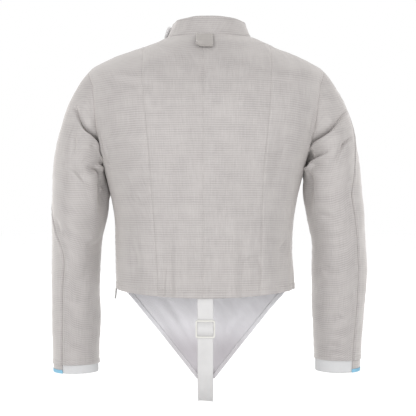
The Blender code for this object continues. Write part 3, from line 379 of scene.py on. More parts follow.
def armhole_turn(level, face):
    """Turn of the armhole's back or front edge on the right: its depth is the reach times the sine
    of the turn round the arm."""
    round_arm = np.arccos(np.clip((level - ARMHOLE_MIDDLE) / ARMHOLE_HALF, -1.0, 1.0))
    depth, square = BODY.at(face + "_depth", level), BODY.at("square", level)
    deep = np.clip(ARMHOLE_REACH[face] * np.sin(round_arm) / depth, 0.0, 1.0)
    turn = np.arctan2((1.0 - deep**square) ** (1.0 / square), deep)
    return turn if face == "back" else math.pi - turn


def outer_edge(level, face):
    """Side seam, then armhole, then shoulder seam on the right, as turns."""
    down = smooth((UNDERARM_LEVEL - level) / (UNDERARM_LEVEL - HEM_LEVEL))
    side_seam = np.radians(90.0 - SIDE_SEAM_TO_BACK * down)
    above = np.where(level >= TIP_LEVEL, math.pi / 2, armhole_turn(level, face))
    return np.where(level <= UNDERARM_LEVEL, side_seam, above)


def back_edge(side, level):
    return side * outer_edge(level, "back")


def front_edge(side, level):
    edge = outer_edge(level, "front")
    return edge if side == RIGHT else 2 * math.pi - edge


def centre_back(_, level):
    return across_turn(CENTRE_BACK_X, level)


def long_seam(side, level):
    return across_turn(BACK_SEAM.at(side, level), level)


def zip_edge(aside, level):
    """Turn of a front's edge beside the zip, moved along the cloth by `aside`."""
    turn = math.pi - across_turn(ZIP.at("x", level), level)
    step = body_form(turn + 1e-3, level) - body_form(turn - 1e-3, level)
    return turn + aside * 2e-3 / np.linalg.norm(step, axis=-1)


def beside_zip(side, level):
    return zip_edge(-side * CHAIN_SHOWS / 2, level)


def shoulder_level(side):
    """Level at which a long seam reaches the shoulder seam, by halving."""
    low, high = TIP_LEVEL, NECK_LEVEL
    for _ in range(40):
        level = (low + high) / 2
        edge = BODY.at("centre_x", level) + side * BODY.at("half_width", level)
        if side * (edge - BACK_SEAM.at(side, level)) > 0:
            low = level
        else:
            high = level
    return level


BESIDE_SEAM = (0.0, 0.5, 1.1, 1.8, 2.7, 4.0)  # mm


def edge_to_edge(length, cell=CELL):
    """Shares of a length from 0 to 1: close together beside each end, a cell apart between."""
    near = np.array(BESIDE_SEAM) * MM
    cells = max(round((length - 2 * near[-1]) / cell), 2)
    inner = np.linspace(near[-1], length - near[-1], cells + 1)
    return np.concatenate([near[:-1], inner, length - near[-2::-1]]) / length


hem_rows = HEM_LEVEL + np.append(np.arange(0.0, 15.0, 1.0), np.arange(15.5, 244.0, 3.0)) * MM
arm_rows = ARMHOLE_MIDDLE + ARMHOLE_HALF * np.cos(np.linspace(math.pi, 0.0, 97))
slope_rows = TIP_LEVEL + (NECK_LEVEL - 4 * MM - TIP_LEVEL) * np.linspace(0.0, 1.0, 56)[1:]
neck_rows = NECK_LEVEL - np.array([2.6, 1.7, 1.0, 0.5, 0.0]) * MM
BODY_LEVELS = np.concatenate([hem_rows, arm_rows, slope_rows, neck_rows])


def summed(steps, axis):
    """Running sums of steps in one direction, from 0."""
    return np.concatenate([np.zeros_like(np.take(steps, [0], axis)), np.cumsum(steps, axis)], axis)


def running(points, axis=0):
    """Running length along one direction of a grid, or along a line."""
    return summed(np.linalg.norm(np.diff(points, axis=axis), axis=-1), axis)


def from_edges(points):
    """Distances to a grid's first and last row and its first and last column, along the cloth."""
    down, across = running(points, 0), running(points, 1)
    return down, down[-1:] - down, across, across[:, -1:] - across


def distance_to(points, line):
    """Distance from every point to the nearest point of a line."""
    flat = points.reshape(-1, 3)
    nearest = np.full(len(flat), np.inf)
    for spot in line:
        nearest = np.minimum(nearest, np.sum((flat - spot) ** 2, axis=1))
    return np.sqrt(nearest).reshape(points.shape[:-1])


def ripples(u, v, across, along, seed):
    """Gentle uneven waves, about -1 to 1: eight sines of random phase whose lengths lie round
    `across` in u and `along` in v."""
    random = np.random.default_rng(seed)
    total = np.zeros(np.broadcast(u, v).shape)
    for _ in range(8):
        fu, fv = random.uniform(0.4, 1.3) / across, random.uniform(-1.2, 1.2) / along
        total = total + np.sin(2 * math.pi * (fu * u + fv * v + random.uniform()))
    return total / 3.0


# Creases, drawn in the plane of the back view. Each goes through its rows; x and z are
# its places, depth the trough's depth, lip the height of the ridge on its left, and left and right
# the trough's half widths on either hand as one walks along it, all in millimetres. A row without
# widths keeps those of the row before, and one of only x and z lies flat.
CREASE_COLUMNS = ("x", "z", "left", "right", "depth", "lip")
CREASE_REACH = 0.04  # nothing further off than this feels a crease
BACK_CREASES = {
    "beside left armhole": (
        (-203, -190, 0, 0, 2.5, 3), (-198, -218, 3.5, 2), (-192, -240, 3.5, 2), (-186, -262),
    ),
    "beside right armhole": ((207, -150, 0, 0, 6, 4), (203, -185, 2.1, 0.8), (194, -225)),
    "by left long seam": ((-107, -94, 0, 0, 3, 3), (-106, -111, 2.1, 0.9), (-104, -128)),
    "pleat over hem": ((-76, -425, 0, 0, 4, 6), (-78, -468, 3.2, 1.2), (-79, -500, 3.6, 1.2)),
    "second over hem": ((-64, -381, 0, 0, 8, 8), (-67, -438, 2.7, 1.2), (-65, -498, 2.7, 1.2)),
    "third over hem": ((-39, -408, 0, 0, 9, 9), (-37, -453, 2.1, 0.8), (-39, -498, 2.1, 0.8)),
    "right of centre": ((37, -362, 0, 0, 10, 10), (39, -425, 2.4, 0.9), (37, -495, 2, 0.8)),
    "further right": ((67, -381, 0, 0, 8, 10), (73, -438, 2.8, 1.2), (69, -496, 2.4, 0.8)),
    "square mark, top": ((71, -442, 0, 0, 3, 3), (86, -432, 2.1, 0.9), (101, -430, 0.8, 0)),
    "square mark, side": ((101, -430, 0.8, 0, 3, 3), (105, -449, 2.1, 0.8), (105, -474)),
    "right flank": ((161, -394, 0, 0, 5, 5), (152, -408, 4.3, 2), (139, -421)),
    "left flank": ((-146, -389, 0, 0, 9, 9), (-135, -425, 3.2, 1.5), (-131, -481)),
    "left waist": ((-146, -313, 0, 0, 7, 7), (-131, -327, 2.1, 1.2), (-112, -334)),
    "left shoulder": ((-181, -85, 0, 0, 8, 8), (-153, -97, 2.4, 1.2), (-123, -104)),
    "right shoulder": ((128, -100, 0, 0, 8, 8), (155, -96, 2, 0.9), (184, -88)),
    "under the tab": ((-2, -52, 0, 0, 5, 5), (-5, -80, 2, 0.4), (-4, -120)),
}
FRONT_CREASES = {
    "right chest drag": ((205, -195, 0, 0, 5, 9), (172, -178, 3.2, 1.6), (120, -150, 0, 0, 6, 10)),
    "left chest drag": ((-205, -205, 0, 0, 9, 5), (-180, -186, 2.7, 1.4), (-140, -168, 0, 0, 9, 6)),
    "right armhole": ((204, -165, 0, 0, 6, 4), (198, -203, 2.7, 1.3), (190, -243)),
    "over hem, middle": ((20, -360, 0, 0, 10, 10), (24, -430, 2.3, 1.1), (18, -495, 1.8, 0.7)),
    "over hem, right": ((96, -372, 0, 0, 9, 9), (91, -434, 2.7, 1.1), (96, -494, 2.2, 0.7)),
    "over hem, left": ((-62, -388, 0, 0, 8, 8), (-58, -440, 2.2, 0.9), (-63, -494, 1.8, 0.7)),
    "waist, right": ((172, -350, 0, 0, 7, 7), (140, -366, 2.9, 1.4), (98, -362)),
    "by the zip": ((-118, -246, 0, 0, 5, 5), (-106, -275, 2.2, 1.1), (-102, -312)),
    "below the neck": ((-30, -80, 0, 0, 8, 12), (10, -104, 2.5, 1.3), (58, -96)),
}

# The same for the sleeves. The deep ones sink the armhole's seam as well, which both the sleeve and
# the body follow.
LEFT_SLEEVE_BACK = {
    "deep fold": (
        (-201, -232, 0, 0, 3, 3.5), (-204, -223, 14, 2.5), (-207, -214, 21, 5, 3, 4.5),
        (-211, -205, 20, 5, 3.5, 5), (-220, -197, 17, 5.5), (-231, -188, 14, 5),
        (-240, -176, 12, 4.5), (-247, -161, 10, 3.5), (-251, -148, 8, 2, 3.5, 4.5),
        (-252, -136, 0, 0, 4, 6),
    ),
    "upper hollow": (
        (-236, -243, 0, 0, 6, 6), (-226, -240, 2, 0, 7, 6), (-214, -238, 1, 0, 6, 6),
        (-206, -237, 0, 0, 5, 5),
    ),
    "bulge": (
        (-216, -216, 0, 0, 8, 9), (-212, -228, -7, 0, 9, 10), (-209, -240, -12, 0, 9, 11),
        (-208, -250, -8, 0, 8, 9), (-208, -258, 0, 0, 5, 5),
    ),
    "hollow": (
        (-233, -257, 0, 0, 4, 5), (-221, -259, 3, 2), (-211, -261, 10, 3.5, 3.5, 5),
        (-203, -264, 18, 3.5, 3.5, 6), (-196, -268, 12, 0, 4, 6),
    ),
    "short upright": (
        (-252, -190, 0, 0, 3, 5), (-250, -208, 3.5, 2.2, 3.5, 5), (-251, -222, 3, 1.5),
        (-254, -236, 0, 0, 3, 5),
    ),
    "slanting": (
        (-230, -290, 0, 0, 5, 9), (-246, -270, 5, 2.5), (-260, -257, 3, 1.5, 6, 9), (-276, -247),
    ),
    "inner ridge": (
        (-213, -258, 0, 0, 3.5, 10), (-211.5, -270, -5, 0, 3, 12), (-211, -295, -5, 0),
        (-212, -322, -3.5, 0, 3.5, 12), (-215, -352, 0, 0, 5, 10),
    ),
    "inner trough": (
        (-202, -260, 2, 0, 5, 6), (-197, -271, 14, 0, 6, 12), (-193, -290, 22, 0, 7, 13),
        (-193, -312, 18, 0), (-195, -335, 8, 0, 7, 12), (-199, -355, 2, 0, 6, 10),
        (-203, -370, 0, 0, 5, 7),
    ),
    "lower wave": ((-234, -414, 0, 0, 7, 7), (-216, -408, 3, 1.5), (-203, -398, 1.5, 0)),
    "seam bend": ((-278, -398, 0, 0, 6, 6), (-288, -373, 3.3, 1.5), (-296, -353)),
    "middle": ((-263, -412, 0, 0, 7, 7), (-271, -388, 2.2, 1), (-282, -369)),
    "low slant": ((-277, -514, 0, 0, 7, 9), (-264, -522, 1.5, 0.8), (-248, -532)),
    "over wrist": ((-268, -607, 0, 0, 7, 7), (-248, -617, 1.8, 0.9), (-225, -629)),
    "elbow": ((-222, -455, 0, 0, 8, 8), (-236, -470, 1.8, 0.9), (-254, -476)),
}
LEFT_SLEEVE_FRONT = {
    "underarm drag": (
        (-200, -232, 3, 1, 7, 12), (-224, -204, 7, 3), (-246, -178, 4, 1.5, 6, 10),
        (-262, -158, 0, 0, 6, 8),
    ),
    "elbow": ((-208, -412, 1.5, 0, 7, 9), (-232, -424, 4.0, 1.6), (-262, -420)),
    "below elbow": ((-212, -452, 1.5, 0, 7, 9), (-240, -458, 3.0, 1.2), (-276, -446)),
    "forearm": ((-296, -520, 0, 0, 8, 9), (-262, -536, 2.7, 1.2), (-226, -560)),
}
RIGHT_SLEEVE_BACK = {
    "deep fold": (
        (279, -140, 0, 0, 4, 5), (271, -152, 6, 2, 3.5, 5), (262, -166, 10, 3.5, 3.5, 6),
        (249, -182, 13, 4.5, 3.5, 7), (236, -193, 16, 5), (221, -203, 18, 5.5, 3.5, 6.5),
        (211, -210, 18, 5, 3, 5.5), (204, -215, 7, 1.5, 3, 4),
    ),
    "second fold": (
        (238, -226, 0, 0, 4, 5), (228, -232, 4, 2.5, 3.5, 5), (215, -239, 8, 4), (204, -246, 10, 4),
        (196, -252, 8, 2, 4, 5),
    ),
    "pocket": (
        (206, -222, 0, 0, 3, 3), (203, -230, 12, 0, 4, 4), (200, -240, 16, 0, 5, 4),
        (196, -250, 14, 0, 4, 3.5), (192, -258, 0, 0, 3, 3),
    ),
    "third fold": (
        (284, -197, 0, 0, 3, 4), (278, -206, 8, 3), (269, -214, 8, 3, 3, 4.5),
        (261, -225, 4, 2, 3.5, 5), (253, -242, 3, 1.5, 4, 6), (247, -260, 0, 0, 5, 6),
    ),
    "branch": ((266, -203, 0, 0, 4, 4), (270, -214, 2.2, 0.8), (272, -230, 0, 0, 5, 5)),
    "inner ridge": (
        (213, -254, 0, 0, 10, 4), (212, -266, -4, 0, 12, 3.5), (212, -290, -4.5, 0),
        (213, -325, -3, 0, 12, 4), (217, -372, 0, 0, 12, 6),
    ),
    "inner trough": (
        (199, -262, 0, 0, 6, 6), (196, -274, 18, 0, 12, 7), (195, -294, 20, 0, 13, 7),
        (200, -328, 7, 0, 10, 6), (207, -362, 0, 0, 7, 5),
    ),
    "middle": ((251, -357, 0, 0, 7, 7), (232, -352, 3, 1.5), (208, -347, 1.5, 0)),
    "by outer seam": ((280, -290, 0, 0, 5, 5), (286, -317, 2.1, 0.9), (292, -354)),
    "over cuff, top": ((278, -593, 0, 0, 5, 6), (262, -589, 2, 0.9), (247, -593)),
    "over cuff, middle": ((280, -618, 0, 0, 5, 6), (250, -611, 3, 1.5), (223, -617, 0.9, 0)),
    "over cuff, low": ((292, -632, 0, 0, 5, 6), (260, -625, 2.4, 1.2), (229, -630)),
    "forearm": ((254, -546, 0, 0, 6, 6), (264, -553, 2, 0.9), (276, -562)),
    "elbow": ((222, -448, 0, 0, 8, 8), (240, -462, 2.1, 1), (262, -466)),
}
RIGHT_SLEEVE_FRONT = {
    "underarm drag": (
        (264, -160, 0, 0, 6, 8), (247, -180, 4, 1.5, 6, 10), (226, -206, 7, 3, 7, 12),
        (202, -234, 3, 1),
    ),
    "elbow": ((264, -416, 0, 0, 7, 9), (236, -426, 4.0, 1.6), (212, -412, 1.5, 0)),
    "below elbow": ((280, -450, 0, 0, 7, 9), (246, -460, 3.0, 1.2), (216, -452, 1.5, 0)),
    "forearm": ((232, -564, 0, 0, 8, 9), (266, -540, 2.7, 1.2), (298, -524)),
}
SLEEVE_CREASES = {
    LEFT: (LEFT_SLEEVE_BACK, LEFT_SLEEVE_FRONT), RIGHT: (RIGHT_SLEEVE_BACK, RIGHT_SLEEVE_FRONT),
}


def full_rows(rows):
    """The rows of a crease in the order of its columns, with what they leave out filled in."""
    full, widths = [], ()
    for x, z, *rest in rows:
        widths = rest[2:] or widths
        full.append((x, z, *widths, *(rest[:2] or (0, 0))))
    return full


def crease_relief(points, creases):
    """Height and leaning of a grid under its creases. Each crease is a smooth line. Off it the
    trough falls as a bell curve with its own width on each hand, pinched to a sharp line under a
    high lip or where it is a ridge, of negative depth. The lip, a bell-shaped ridge 1.6 half widths
    to its left, leans over it."""
    plan = points[..., [0, 2]].reshape(-1, 2)
    height, lean = np.zeros(len(plan)), np.zeros((len(plan), 2))
    for rows in creases.values():
        rows = np.array(full_rows(rows), float) * MM
        lengths = running(rows[:, :2])
        curve = Table(("length", *CREASE_COLUMNS), np.column_stack([lengths, rows]).tolist())
        places = np.linspace(0.0, lengths[-1], 6 * len(rows))
        line = {name: curve.at(name, places) for name in CREASE_COLUMNS}
        spots = np.stack([line["x"], line["z"]], axis=1)
        reach = np.ptp(spots, axis=0) / 2 + CREASE_REACH
        near = np.all(np.abs(plan - spots.mean(0)) < reach, axis=1)
        if not near.any():
            continue
        here = plan[near]
        best, chosen = np.full(len(here), np.inf), {}
        for i, run in enumerate(np.diff(spots, axis=0)):
            share = np.clip((here - spots[i]) @ run / (run @ run), 0.0, 1.0)
            away = here - spots[i] - share[:, None] * run
            off = np.linalg.norm(away, axis=1)
            closer, best = off < best, np.minimum(off, best)
            left = np.array([-run[1], run[0]]) / np.linalg.norm(run)
            found = {"side": np.sign(away @ left) * off, "lean_x": left[0], "lean_z": left[1]}
            for name in CREASE_COLUMNS[2:]:
                found[name] = between(line[name][i], line[name][i + 1], share)
            for name, value in found.items():
                chosen[name] = np.where(closer, value, chosen.get(name, value))
        side, lip = chosen["side"], chosen["lip"]
        width = np.where(side > 0, chosen["left"], chosen["right"])
        pinched = 2.0 - 0.9 * smooth(np.maximum(lip, -chosen["depth"]) / (3 * MM))
        trough = np.exp(-(np.abs(side / width) ** pinched))
        ridge = lip * bell(side - 1.6 * chosen["left"], 1.1 * chosen["left"])
        height[near] += ridge - chosen["depth"] * trough
        over = -ridge * smooth(lip / (2 * MM))
        lean[near] += over[:, None] * np.stack([chosen["lean_x"], chosen["lean_z"]], axis=1)
    return height.reshape(points.shape[:-1]), lean.reshape(*points.shape[:-1], 2)


def creased(points, normals, back, front, held, at_seam=0.0):
    """The grid with the creases of its back and front views. They move the cloth along its normals
    and fade as it turns away; near a seam, where `held` falls to 0, they move it straight along the
    view by the share `at_seam`, so that the pieces on both sides of the seam stay together."""
    moved, held = points.copy(), np.broadcast_to(held, points.shape[:2])
    for creases, toward in ((back, -1.0), (front, 1.0)):
        height, lean = crease_relief(points, creases)
        this_half = smooth(0.5 + toward * points[..., 1] / 0.03)
        share = this_half * between(at_seam, smooth(toward * normals[..., 1] / 0.5), held)
        way = unit(between(np.array([0.0, toward, 0.0]), normals, held[..., None]))
        moved += way * (height * share)[..., None]
        moved[..., 0] += lean[..., 0] * share
        moved[..., 2] += lean[..., 1] * share
    return moved


def weave_map(points, normals, start):
    """Lengths of the cloth along the weft and the warp, in metres: running sums of each step's
    part across and up the surface, from the grid's first column and its first row's height."""
    up = unit(np.array([0.0, 0.0, 1.0]) - normals * normals[..., 2:])
    across = unit(np.cross(up, normals))
    rows, columns = np.diff(points, axis=0), np.diff(points, axis=1)
    along = np.sum(rows * (up[1:] + up[:-1]) / 2, axis=-1)
    aside = np.sum(columns * (across[:, 1:] + across[:, :-1]) / 2, axis=-1)
    return np.stack([start + summed(aside, 1), points[:1, :, 2] + summed(along, 0)], axis=-1)


def grid_faces(rows, columns, closed):
    """Quads of a grid, each from its row and column to the next; a closed grid joins its ends."""
    j, i = np.mgrid[0 : rows - 1, 0 : columns if closed else columns - 1]
    a, b = j * columns + i, j * columns + (i + 1) % columns
    return np.stack([a, b, b + columns, a + columns], axis=-1).reshape(-1, 4)


def place_piece(name, mesh, finishes):
    """Puts a mesh in the scene as a piece that rides on the jacket."""
    mesh.name = name
    mesh.materials.clear()
    for finish in finishes:
        mesh.materials.append(finish)
    piece = new_object(name, mesh)
    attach(piece, "jacket")
    return piece


def new_piece(name, vertices, faces, finishes):
    mesh = bpy.data.meshes.new(name)
    mesh.from_pydata(np.asarray(vertices).reshape(-1, 3).tolist(), [], np.asarray(faces).tolist())
    mesh.shade_smooth()
    return place_piece(name, mesh, finishes)


def cloth_shell(name, points, normals, thickness, finishes, slot, closed=False, start=0.0):
    """A shell of cloth whose outer face is the grid. Its second finish is on the inner face."""
    rows, columns = points.shape[:2]
    faces = grid_faces(rows, columns, closed)
    corner = points.reshape(-1, 3)[faces]
    out = np.cross(corner[:, 1] - corner[:, 0], corner[:, 3] - corner[:, 0])
    if np.sum(out * normals.reshape(-1, 3)[faces[:, 0]]) < 0:
        faces = faces[:, ::-1]
    piece = new_piece(name, points, faces, finishes)
    if not closed:
        layer = piece.data.uv_layers.new(name="cloth")
        places = weave_map(points, normals, start).reshape(-1, 2)[faces]
        layer.data.foreach_set("uv", places.astype(np.float32).ravel())
    wall = piece.modifiers.new("thickness", "SOLIDIFY")
    wall.thickness = thickness
    wall.offset = -1.0
    if len(finishes) > 1:
        wall.material_offset = 1
    return piece


CLOTHS = {}  # each finished grid with its normals, for what is sewn on it


def sew(name, cloth, points, normals, wall, finishes, slot, form, rests_on, held="hung", **how):
    """Puts a shell of cloth in place of its solid, works out its form's widest row and longest
    column, which nothing uses, and keeps the grid for what is sewn on it."""
    piece = cloth_shell(f"{name}_{cloth}", points, normals, wall, finishes, slot, **how)
    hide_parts(name)
    across, down = float(running(form, 1)[:, -1].max()), float(running(form)[-1].max())
    CLOTHS[name] = points, normals


def turned_up(hem, width, groove):
    """Relief of a turned hem: a step up inside the turn, and a groove along its stitches."""
    return HEM_STEP * smooth((width - hem) / (2 * MM)) - groove * bell(hem - width, GROOVE)


def armhole_point(side, arm_turn):
    """Point of the armhole at a turn round the arm, 0 at the shoulder's tip, 90 at the back."""
    level = ARMHOLE_MIDDLE + ARMHOLE_HALF * np.cos(arm_turn)
    at_back = np.sin(arm_turn) >= 0
    turn = np.where(at_back, armhole_turn(level, "back"), armhole_turn(level, "front"))
    return body_form(side * turn, level)


ARM_EDGE = {side: armhole_point(side, np.linspace(0.0, 2 * math.pi, 181)) for side in (LEFT, RIGHT)}

PANELS = {  # side, left edge, right edge, width, how far each edge rolls in to its seam
    "back_left": (LEFT, long_seam, centre_back, 0.11, (0.8, 0.5)),
    "back_right": (RIGHT, centre_back, long_seam, 0.13, (0.5, 0.8)),
    "side_back_left": (LEFT, back_edge, long_seam, 0.13, (0.5, 0.8)),
    "side_back_right": (RIGHT, long_seam, back_edge, 0.12, (0.8, 0.5)),
    "front_right": (RIGHT, front_edge, beside_zip, 0.42, (0.5, 0.0)),
    "front_left": (LEFT, beside_zip, front_edge, 0.12, (0.0, 0.5)),
}


def body_panel(name):
    """One panel: the form between its two edges, moved out to the cloth's face, which rolls in to
    its seams, thickens at the turned hem, and carries the creases, waves and seam puckers."""
    side, left_edge, right_edge, width, seam_rolls = PANELS[name]
    levels = BODY_LEVELS
    if back_edge in PANELS[name]:
        levels = np.append(levels[levels < shoulder_level(side)], shoulder_level(side))
    first, last = left_edge(side, levels), right_edge(side, levels)
    turn = between(first[:, None], last[:, None], edge_to_edge(width)[None, :])
    level = np.repeat(levels[:, None], turn.shape[1], axis=1)
    form, normals = body_form(turn, level), body_normals(turn, level)
    hem, neck, left, right = from_edges(form)
    if levels[-1] != NECK_LEVEL:
        neck = np.ones_like(neck)  # its top edge isn't in the neck seam
    out, allowances = CLOTH_OUT, 0.0
    around = form[..., 0] + 0.8 * form[..., 1]
    waves = 0.9 * MM * ripples(around, level, 0.085, 0.16, 11)
    waves = waves + 0.22 * MM * ripples(around, level, 0.021, 0.09, 12)
    for near, roll, seed in zip((left, right), seam_rolls, (21, 22)):
        flat = smooth(near / SEAM_ROLL)
        out = out * (1 - roll * (1 - flat))
        allowances = allowances + 0.25 * MM * roll * smooth((ALLOWANCE - near) / (2.5 * MM)) * flat
        waves = waves + 0.16 * MM * hump(near, PUCKER) * ripples(level, 0.0, 0.013, 1.0, seed)
    out = out * smooth(neck / SEAM_ROLL) + allowances
    arm = np.minimum(distance_to(form, ARM_EDGE[LEFT]), distance_to(form, ARM_EDGE[RIGHT]))
    held = smooth(arm / SEAM_HOLDS) * smooth(neck / SEAM_HOLDS)
    flute = 1.1 * MM * ripples(around, 0.0, 0.045, 1.0, 13) * smooth(1 - hem / 0.06)
    out = out + (waves + flute) * held + turned_up(hem, HEM_TURN, 0.55 * MM)
    points = creased(form + normals * out[..., None], normals, BACK_CREASES, FRONT_CREASES, held)
    for side in (LEFT, RIGHT):
        points = creased(points, normals, *SLEEVE_CREASES[side], 0.0, 1.0 - smooth(arm / (8 * MM)))
    rest, start = ["collar"], first.mean() * BODY_RADIUS
    sew(name, "cloth", points, normals, CLOTH, LAME_BOTH, "lame", form, rest, start=start)


for name in PANELS:
    body_panel(name)


# ------------------------------------------------------------------------------ the sleeves
# Each sleeve is cut in two pieces, back and front, joined by an outer and an inner seam, and set
# into the armhole. Drag folds run from the underarm out over the back. The hem is turned 9 mm.
CAP_END_Z = -0.300
TUBE_COLUMNS = ("z", "left_out", "left_in", "right_out", "right_in", "centre_y", "half_depth")
TUBE_RINGS = (
    (-0.700, 0.3095, 0.2170, 0.3140, 0.2225, 0.040, 0.0410),
    (-0.640, 0.3095, 0.2170, 0.3150, 0.2220, 0.033, 0.0420),
    (-0.560, 0.3100, 0.2140, 0.3190, 0.2180, 0.023, 0.0460),
    (-0.500, 0.3085, 0.2140, 0.3220, 0.2160, 0.016, 0.0500),
    (-0.450, 0.3075, 0.2130, 0.3225, 0.2150, 0.010, 0.0530),
    (-0.400, 0.3065, 0.2075, 0.3190, 0.2130, 0.006, 0.0570),
    (-0.350, 0.3060, 0.1965, 0.3165, 0.2030, 0.002, 0.0610),
    (CAP_END_Z, 0.3055, 0.1938, 0.3110, 0.1960, 0.000, 0.0640),
    (-0.280, 0.3050, 0.1938, 0.3100, 0.1960, 0.000, 0.0650),
)
WRIST_Z = {LEFT: -0.650, RIGHT: -0.641}
TOP_LEAVES, UNDERARM_LEAVES = {LEFT: 48.0, RIGHT: 44.0}, 54.0  # slopes below level at the armhole
BACK_SWELL = 0.32
SLEEVE_SEAMS = (  # way down, turns of the left and the right outer seam and of the inner seam
    (0.00, 0.0, 0.0, 216.0),
    (0.50, -6.0, 20.0, 212.0),
    (0.85, -4.0, 46.0, 208.0),
    (1.05, 4.0, 57.0, 206.0),
    (1.20, 34.0, 56.0, 204.0),
    (1.36, 66.0, 54.0, 204.0),
    (1.60, 65.0, 52.0, 204.0),
    (2.00, 60.0, 57.0, 204.0),
)
SLEEVE_HEM = 9.0 * MM
CAP_ENDS = (0.0, 0.004, 0.009, 0.015, 0.022, 0.030)  # the first ways, close beside the armhole
# Where each sleeve parts from the body, and over what height
PRESSED_TO = {LEFT: (-0.322, 0.022), RIGHT: (-0.296, 0.042)}
TUBE = Table(TUBE_COLUMNS, TUBE_RINGS)
SLEEVE_SEAM = Table(("way", LEFT, RIGHT, "inner"), SLEEVE_SEAMS)


def tube_point(side, arm_turn, z):
    """Ellipse round the arm at a height: cosine of the turn across, sine of it back."""
    outer, inner = TUBE.at(SIDE_NAMES[side] + "_out", z), TUBE.at(SIDE_NAMES[side] + "_in", z)
    x = side * ((outer + inner) / 2 + (outer - inner) / 2 * np.cos(arm_turn))
    y = TUBE.at("centre_y", z) - TUBE.at("half_depth", z) * np.sin(arm_turn)
    return np.stack(np.broadcast_arrays(x, y, z), axis=-1)


def sleeve_form(side):
    """The sleeve's surface: from way 0 to 1 each line is a cubic that leaves the armhole outwards
    and down and arrives along the tube; from way 1 to 2 it follows the tube to the wrist."""

    def form(arm_turn, way):
        arm_turn, way = np.broadcast_arrays(np.asarray(arm_turn, float), np.asarray(way, float))
        start, cap_end = armhole_point(side, arm_turn), np.full_like(arm_turn, CAP_END_Z)
        end = tube_point(side, arm_turn, cap_end)
        chord = np.linalg.norm(end - start, axis=-1, keepdims=True)
        slope = np.radians(between(TOP_LEAVES[side], UNDERARM_LEAVES, (1 - np.cos(arm_turn)) / 2))
        leaves = [side * np.cos(slope), -BACK_SWELL * np.sin(arm_turn), -np.sin(slope)]
        leaves = unit(np.stack(leaves, axis=-1))
        arrives = unit(tube_point(side, arm_turn, cap_end - 0.01) - end)
        t = np.clip(way, 0.0, 1.0)[..., None]
        cap = start * (1 + 2 * t) * (1 - t) ** 2 + end * t * t * (3 - 2 * t)
        cap = cap + chord * (leaves * t * (1 - t) ** 2 - arrives * t * t * (1 - t))
        down = between(CAP_END_Z, WRIST_Z[side], np.maximum(way - 1.0, 0.0))
        tube = tube_point(side, arm_turn, down)
        return np.where((way > 1.0)[..., None], tube, cap)

    return form


def sleeve_seam(column, way):
    return np.radians(SLEEVE_SEAM.at(column, way))


def pressed(points, side):
    """Underarm cloth that lies against the body: it moves across by what is left between it and the
    body's ring at its height and depth, less 1.6 mm, fading with that distance and down the arm."""
    x, y, z = np.moveaxis(points, -1, 0)
    level = np.clip(z, HEM_LEVEL, TIP_LEVEL)
    square = BODY.at("square", level)
    deep = np.clip(np.abs(y) / BODY.facing(y < 0, "depth", level), 0.0, 1.0)
    reach = (1 - deep**square) ** (1 / square)
    apart = side * (x - BODY.at("centre_x", level)) - BODY.at("half_width", level) * reach
    parts, over = PRESSED_TO[side]
    near = smooth((30 * MM - apart) / (20 * MM)) * smooth((z - parts) / over)
    near = near * smooth((UNDERARM_LEVEL - z) / 0.006)
    moved = points.copy()
    moved[..., 0] -= side * np.maximum(apart - 1.6 * MM, 0.0) * near
    return moved


SLEEVES = {
    f"sleeve_{face}_{SIDE_NAMES[side]}": (side, face == "back")
    for side in (LEFT, RIGHT)
    for face in ("back", "front")
}


def sleeve_piece(name):
    """One piece of a sleeve between its two seams, with its folds, waves and turned hem."""
    side, back = SLEEVES[name]
    length = CAP_END_Z - WRIST_Z[side]
    above_hem = np.arange(length - 12 * MM, 0.0, -3 * MM)[::-1]
    above_hem = np.append(above_hem, length - np.arange(11, -1, -1) * MM)
    ways = np.append(CAP_ENDS, np.linspace(0.04, 1.0, 124 if back else 66))
    ways = np.append(ways, 1.0 + above_hem / length)
    first, last = sleeve_seam(side, ways), sleeve_seam("inner", ways)
    if not back:
        first, last = last, first + 2 * math.pi
    share = edge_to_edge(0.20, 1.7 * MM) if back else edge_to_edge(0.14)
    arm_turn = between(first[:, None], last[:, None], share[None, :])
    way = np.repeat(ways[:, None], arm_turn.shape[1], axis=1)
    surface = sleeve_form(side)
    form, normals = surface(arm_turn, way), side * normals_of(surface, arm_turn, way, 0.0, 2.2)
    armhole, hem, left, right = from_edges(form)
    out = CLOTH_OUT * between(0.5, 1.0, smooth(armhole / SEAM_ROLL))
    out = out * smooth(left / SEAM_ROLL) * smooth(right / SEAM_ROLL)
    outer = left if back else right
    out = out - 1.5 * MM * bell(outer, 1.5 * MM)
    if not back:
        out = out + 0.8 * MM * bell(outer - 4 * MM, 2 * MM)
    held = smooth(armhole / (10 * MM))
    around, z = form[..., 0] + 0.8 * form[..., 1], form[..., 2]
    waves = 0.8 * MM * ripples(around, z, 0.07, 0.11, 31 + side)
    waves = waves + 0.25 * MM * ripples(around, z, 0.05, 0.022, 34 + side)
    pucker = hump(left, PUCKER) + hump(right, PUCKER)
    waves = waves + 0.18 * MM * pucker * ripples(z, 0.0, 0.012, 1.0, 37 + side)
    gather = hump(armhole, 6 * MM)
    waves = waves + 0.3 * MM * gather * ripples(around, 0.0, 0.014, 1.0, 41 + side)
    out = out + waves * held + turned_up(hem, SLEEVE_HEM, 0.5 * MM)
    points = pressed(form + normals * out[..., None], side)
    points = creased(points, normals, *SLEEVE_CREASES[side], held, 1.0)
    body = [f"side_back_{SIDE_NAMES[side]}_cloth"]
    sew(name, "cloth", points, normals, CLOTH, LAME_BOTH, "lame", form, body)


for name in SLEEVES:
    sleeve_piece(name)


